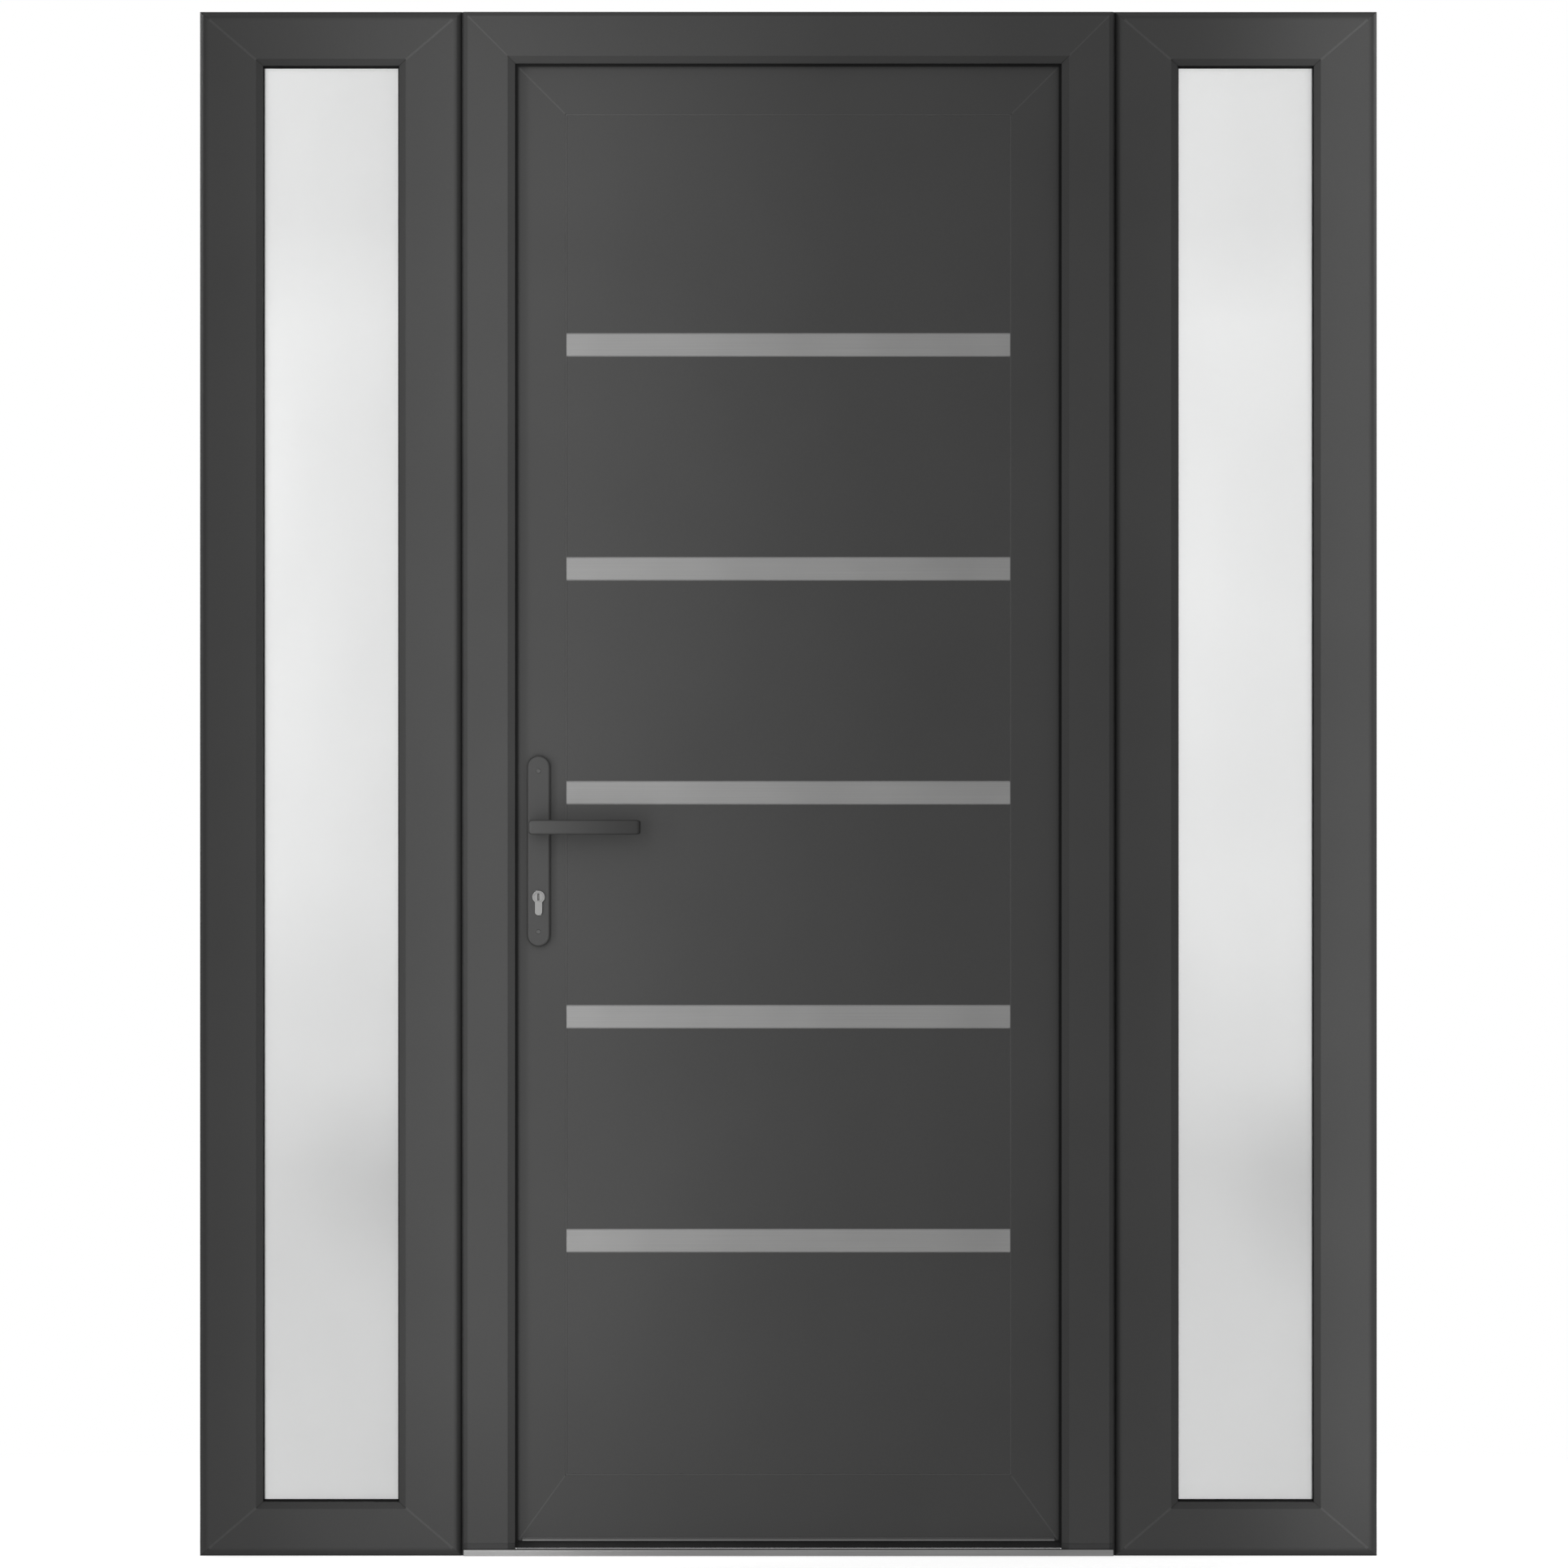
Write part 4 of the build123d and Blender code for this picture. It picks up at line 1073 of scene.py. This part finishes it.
def round_ring(shape, x, y, z, radius, sides):
    """A ring of points round an axis that runs from outdoors to indoors."""
    turns = [math.tau * i / sides for i in range(sides)]
    return [shape.verts.new((x + radius * math.cos(t), y, z + radius * math.sin(t))) for t in turns]


low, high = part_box("lock_cylinder")
LOCK_X = (low.x + high.x) / 2
PLUG_Z = high.z - (high.x - low.x) / 2
shape = bmesh.new()
for face, outward in ((low.y, -1), (high.y, 1)):
    rings = [
        round_ring(shape, LOCK_X, face + outward * rise, PLUG_Z, radius, PLUG_SIDES)
        for radius, rise in (
            (PLUG_RADIUS, -PLUG_PROUD),
            (PLUG_RADIUS, PLUG_SHOULDER),
            (PLUG_RADIUS - PLUG_RING / 2, PLUG_PROUD),
            (PLUG_RADIUS - PLUG_RING, PLUG_SHOULDER),
            (PLUG_RADIUS - PLUG_RING, -PLUG_PROUD),
        )
    ]
    for inner, outer in zip(rings, rings[1:] + rings[:1]):
        for i in range(PLUG_SIDES):
            j = (i + 1) % PLUG_SIDES
            shape.faces.new((inner[i], inner[j], outer[j], outer[i]))
mesh = meshed("lock_plug_rings", shape)
placed("lock_plug_rings", mesh, satin_nickel, "leaf")

# Handle plates: long die-cast plates with rounded ends, powder coated to match the foil, one on each
# face. Two screws pass through the leaf and tie them together.
PLATE_SCREW_RADIUS = 3.4 * MM
PLATE_SCREW_PROUD = 1.0 * MM
PLATE_SCREW_HEIGHTS = (821.4 * MM, 1032.8 * MM)
PLATE_SCREW_GREY = (0.058, 0.058, 0.0575, 1.0)
PLATE_SCREW_ROUGHNESS = 0.36

screw_coat = grained(
    "screw_coat",
    PLATE_SCREW_GREY,
    PLATE_SCREW_ROUGHNESS,
    COAT_GRAIN,
    COAT_MOTTLING,
    specular=COAT_SPECULAR,
)
for name, way in (("outside_backplate", -1), ("inside_backplate", 1)):
    eased(name, "casting", 0.0, powder_coat, "leaf")
    low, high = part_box(name)
    face = low.y if way < 0 else high.y
    places = [(LOCK_X, face, z) for z in PLATE_SCREW_HEIGHTS]
    screws(
        name.replace("backplate", "plate_screws"),
        places,
        (0, way, 0),
        PLATE_SCREW_RADIUS,
        screw_coat,
        "leaf",
        PLATE_SCREW_PROUD,
    )

# Levers: two bowed die-cast handles on one square steel spindle, powder coated like the plates, each
# on a round neck that turns in its plate and is sprung back level. The coat carries painted light and
# shade, lighter at the root and darker towards the tip.
ROOT_TONE = 1.16
TIP_TONE = 0.70
LEVER_HEEL = 13.0 * MM
LEVER_RUN = 147.5 * MM
LEVER_HALF = 9.75 * MM
LEVER_STANDOFF = 42.0 * MM
LEVER_THICKNESS = 12.0 * MM
LEVER_TAPER = 3.0 * MM
LEVER_BOW = 13.0 * MM
LEVER_ROUND = 3.0 * MM
HEEL_ROUND = 5.0 * MM
TIP_ROUND = 6.0 * MM
HEEL_FRONT_SHARE = 0.6
TIP_HEIGHT_SHARE = 0.5
BACK_SHARE = 0.3
END_STEPS = 6
BAR_STEPS = 24
CORNER_STEPS = 5
HEIGHT_LIMIT = 0.95
DEPTH_LIMIT = 0.45
NECK_SIDES = 48
NECK_PROFILE = (
    (0.4 * MM, 8.6 * MM),
    (37.0 * MM, 8.6 * MM),
    (40.0 * MM, 8.8 * MM),
    (42.0 * MM, 9.4 * MM),
    (46.0 * MM, 9.4 * MM),
)

lever_shading, given = surface_group(
    "root_lit_tip_shaded_coat",
    [
        ("Color", "Color", COAT_GREY),
        ("Roughness", "Float", COAT_ROUGHNESS),
        ("Grain per metre", "Float", COAT_GRAIN),
        ("Mottling", "Float", COAT_MOTTLING),
        ("Root", "Float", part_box("outside_lever")[0].x),
        ("Tip", "Float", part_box("outside_lever")[1].x),
    ],
)
handed_on = {label: given[label] for label in ("Color", "Roughness", "Grain per metre", "Mottling")}
coat = add(lever_shading, "ShaderNodeGroup", handed_on, node_tree=grain)
spot = add(lever_shading, "ShaderNodeTexCoord").outputs["Object"]
along = add(lever_shading, "ShaderNodeSeparateXYZ", {"Vector": spot}).outputs["X"]
# Painted light and shade: the coat is made lighter at the root and darker towards the tip.
tone = ranged(lever_shading, along, (given["Root"], given["Tip"]), (ROOT_TONE, TIP_TONE))
darkened = scaled(lever_shading, coat.outputs["Color"], tone)
put_out(lever_shading, darkened, coat.outputs["Roughness"], coat.outputs["Height"])
gloss = {"Specular IOR Level": COAT_SPECULAR}
lever_coat = finish("lever_coat", lever_shading, {}, COAT_RELIEF, GRAIN_DEPTH, gloss)


def fallen(along, drop):
    """How far an arc has dropped at a distance along the lever, when it drops by drop at the tip."""
    radius = (LEVER_RUN**2 + drop**2) / (2 * drop)
    return radius - math.sqrt(radius**2 - along**2)


def end_inset(reach, rounding):
    """How far a rounded end draws in at a distance from that end."""
    short = max(0.0, rounding - reach)
    return rounding - math.sqrt(rounding**2 - short**2)


def lever_section(along):
    """Half the height, and the distances of the back and the front from the leaf, at one section."""
    heel = end_inset(along, HEEL_ROUND)
    tip = end_inset(LEVER_RUN - along, TIP_ROUND)
    half = LEVER_HALF - heel - tip * TIP_HEIGHT_SHARE
    back = LEVER_STANDOFF - fallen(along, LEVER_BOW - LEVER_TAPER) + (heel + tip) * BACK_SHARE
    front = LEVER_STANDOFF + LEVER_THICKNESS - fallen(along, LEVER_BOW) - heel * HEEL_FRONT_SHARE - tip
    return half, back, front


def lever_mesh(name, face, outward):
    """One lever: a bowed bar with rolled edges and rounded ends, on a round neck."""
    shape = bmesh.new()
    low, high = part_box(name)
    middle = (low.z + high.z) / 2
    shares = [1 - math.cos(i / END_STEPS * math.pi / 2) for i in range(END_STEPS)]
    near = [HEEL_ROUND * share for share in shares]
    far = [LEVER_RUN - TIP_ROUND * share for share in shares]
    plain = LEVER_RUN - HEEL_ROUND - TIP_ROUND
    between = [HEEL_ROUND + plain * i / BAR_STEPS for i in range(BAR_STEPS + 1)]
    rings = []
    for along in near + between + far[::-1]:
        half, back, front = lever_section(along)
        rounding = min(LEVER_ROUND, HEIGHT_LIMIT * half, DEPTH_LIMIT * (front - back))
        ring = []
        for k, (up, ahead) in enumerate(((1, 1), (-1, 1), (-1, -1), (1, -1))):
            for i in range(CORNER_STEPS + 1):
                turn = (k + i / CORNER_STEPS) * math.pi / 2
                z = up * (half - rounding) + rounding * math.cos(turn)
                away = (front if ahead > 0 else back) - ahead * rounding + rounding * math.sin(turn)
                ring.append(shape.verts.new((low.x + along, face + outward * away, middle + z)))
        rings.append(ring)
    skinned(shape, rings)
    neck_x = low.x + LEVER_HEEL
    rings = [
        round_ring(shape, neck_x, face + outward * away, middle, radius, NECK_SIDES)
        for away, radius in NECK_PROFILE
    ]
    skinned(shape, rings)
    return meshed(name + "_rough", shape)


paint(zinc, "spindle")
for name, face, outward in (("outside_lever", LEAF_FRONT, -1), ("inside_lever", LEAF_BACK, 1)):
    paint(lever_coat, name)
    piece = placed(
        name + "_casting",
        levelled(name, lever_mesh(name, face, outward)),
        lever_coat,
        "lever",
    )
    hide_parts(name)

# Studio: a pale floor that takes the door's shadow, before plain white. Light comes from the front all
# round the camera, with tall soft lamps at the left joint, the left side and the right edge. Two broad
# lamps behind light the indoor faces and the edges.
WHITE = (1.0, 1.0, 1.0, 1.0)
FLOOR_HALF = 45.0
FLOOR_DROP = 0.0003
FLOOR_PALE = (0.88, 0.88, 0.88, 1.0)
FLOOR_LIFT = (0.74, 0.50)
LIFT_SPAN = (-0.15, 0.25)
FLOOR_FADE = (1.3, 3.6)
AMBIENT_FRONT = 2.42
AMBIENT_SIDE = 0.22
FRONT_FOCUS = 6.0


def seen_directly(tree):
    """One for rays from the camera, from gloss and through glass."""
    path = add(tree, "ShaderNodeLightPath").outputs
    gloss = sums(tree, "MAXIMUM", path["Is Glossy Ray"], path["Is Transmission Ray"])
    return sums(tree, "MAXIMUM", path["Is Camera Ray"], gloss)


floor_mesh = bpy.data.meshes.new("floor")
floor_corners = [(x * FLOOR_HALF, y * FLOOR_HALF, -FLOOR_DROP) for x, y in SQUARE]
floor_mesh.from_pydata(floor_corners, [], [(0, 1, 2, 3)])
floor = set_out("floor", floor_mesh)
floor_pale = bpy.data.materials.new("floor_pale")
floor_pale.use_nodes = True
tree = floor_pale.node_tree
tree.nodes.clear()
seen = seen_directly(tree)
spot = add(tree, "ShaderNodeTexCoord").outputs["Object"]
away = add(tree, "ShaderNodeVectorMath", {"Vector": spot}, operation="LENGTH").outputs["Value"]
depth = add(tree, "ShaderNodeSeparateXYZ", {"Vector": spot}).outputs["Y"]
far = ranged(tree, away, FLOOR_FADE, SHARE_RANGE, interpolation_type="SMOOTHSTEP")
behind = ranged(tree, depth, LIFT_SPAN, FLOOR_LIFT, interpolation_type="SMOOTHSTEP")
matt = out(tree, "ShaderNodeBsdfDiffuse", {"Color": FLOOR_PALE})
lift = out(tree, "ShaderNodeEmission", {"Color": WHITE, "Strength": sums(tree, "MULTIPLY", seen, behind)})
near_floor = out(tree, "ShaderNodeAddShader", {0: matt, 1: lift})
blank = out(tree, "ShaderNodeEmission", {"Color": WHITE, "Strength": 1.0})
blend = sums(tree, "MULTIPLY", far, seen)
whole = out(tree, "ShaderNodeMixShader", {0: blend, 1: near_floor, 2: blank})
add(tree, "ShaderNodeOutputMaterial", {"Surface": whole})
floor_mesh.materials.append(floor_pale)
floor.visible_diffuse = False

world = bpy.data.worlds.new("studio")
world.use_nodes = True
bpy.context.scene.world = world
tree = world.node_tree
backdrop = tree.nodes["Background"]
backdrop.inputs["Color"].default_value = WHITE
way = add(tree, "ShaderNodeTexCoord").outputs["Generated"]
depth = add(tree, "ShaderNodeSeparateXYZ", {"Vector": way}).outputs["Y"]
front = sums(tree, "MAXIMUM", sums(tree, "MULTIPLY", depth, -1.0), 0.0)
ahead = sums(tree, "POWER", front, FRONT_FOCUS)
light = sums(tree, "MULTIPLY_ADD", ahead, AMBIENT_FRONT, AMBIENT_SIDE)
level = ranged(tree, seen_directly(tree), SHARE_RANGE, (light, 1.0))
tree.links.new(level, backdrop.inputs["Strength"])

LAMPS = {
    "left_joint_lamp": ((-0.41, -0.55, 1.05), (-0.33, 0.0, 1.05), (0.2, 2.3), 115.0, 2.15),
    "left_side_lamp": ((-0.80, -0.52, 1.05), (-0.26, 0.0, 1.05), (0.16, 2.3), 72.0, 1.10),
    "right_edge_lamp": ((0.765, -0.35, 1.05), (0.765, 0.0, 1.05), (0.11, 2.3), 90.0, 1.48),
    "rear_left_lamp": ((-2.4, 3.6, 2.6), (0.0, 0.2, 1.0), (1.4, 2.0), 180.0, 105.0),
    "rear_right_lamp": ((2.4, 3.6, 2.6), (0.0, 0.2, 1.0), (1.4, 2.0), 180.0, 95.0),
}
for name, (place, target, (width, height), spread, power) in LAMPS.items():
    lamp = bpy.data.lights.new(name, "AREA")
    lamp.shape = "RECTANGLE"
    lamp.size = width
    lamp.size_y = height
    lamp.energy = power
    lamp.spread = math.radians(spread)
    stand = set_out(name, lamp)
    stand.location = place
    stand.rotation_euler = (Vector(target) - Vector(place)).to_track_quat("-Z", "Y").to_euler()
    stand.visible_camera = False
    stand.visible_transmission = False

# Camera: straight on from outdoors with a very long lens, so that both sides keep parallel edges.
# The frame is square and just wider than the height of the door.
VIEW_WIDTH = 2.063
VIEW_MIDDLE = (-0.0058, 1.0158)
LENS = 400.0
SENSOR = 36.0
CLIP_FAR = 200.0

camera_data = bpy.data.cameras.new("camera")
camera_data.lens = LENS
camera_data.sensor_width = SENSOR
camera_data.clip_end = CLIP_FAR
camera = set_out("camera", camera_data)
camera.location = (VIEW_MIDDLE[0], FRAME_FRONT - VIEW_WIDTH * LENS / SENSOR, VIEW_MIDDLE[1])
camera.rotation_euler = (math.pi / 2, 0, 0)
bpy.context.scene.camera = camera
bpy.context.scene.view_settings.view_transform = "Standard"
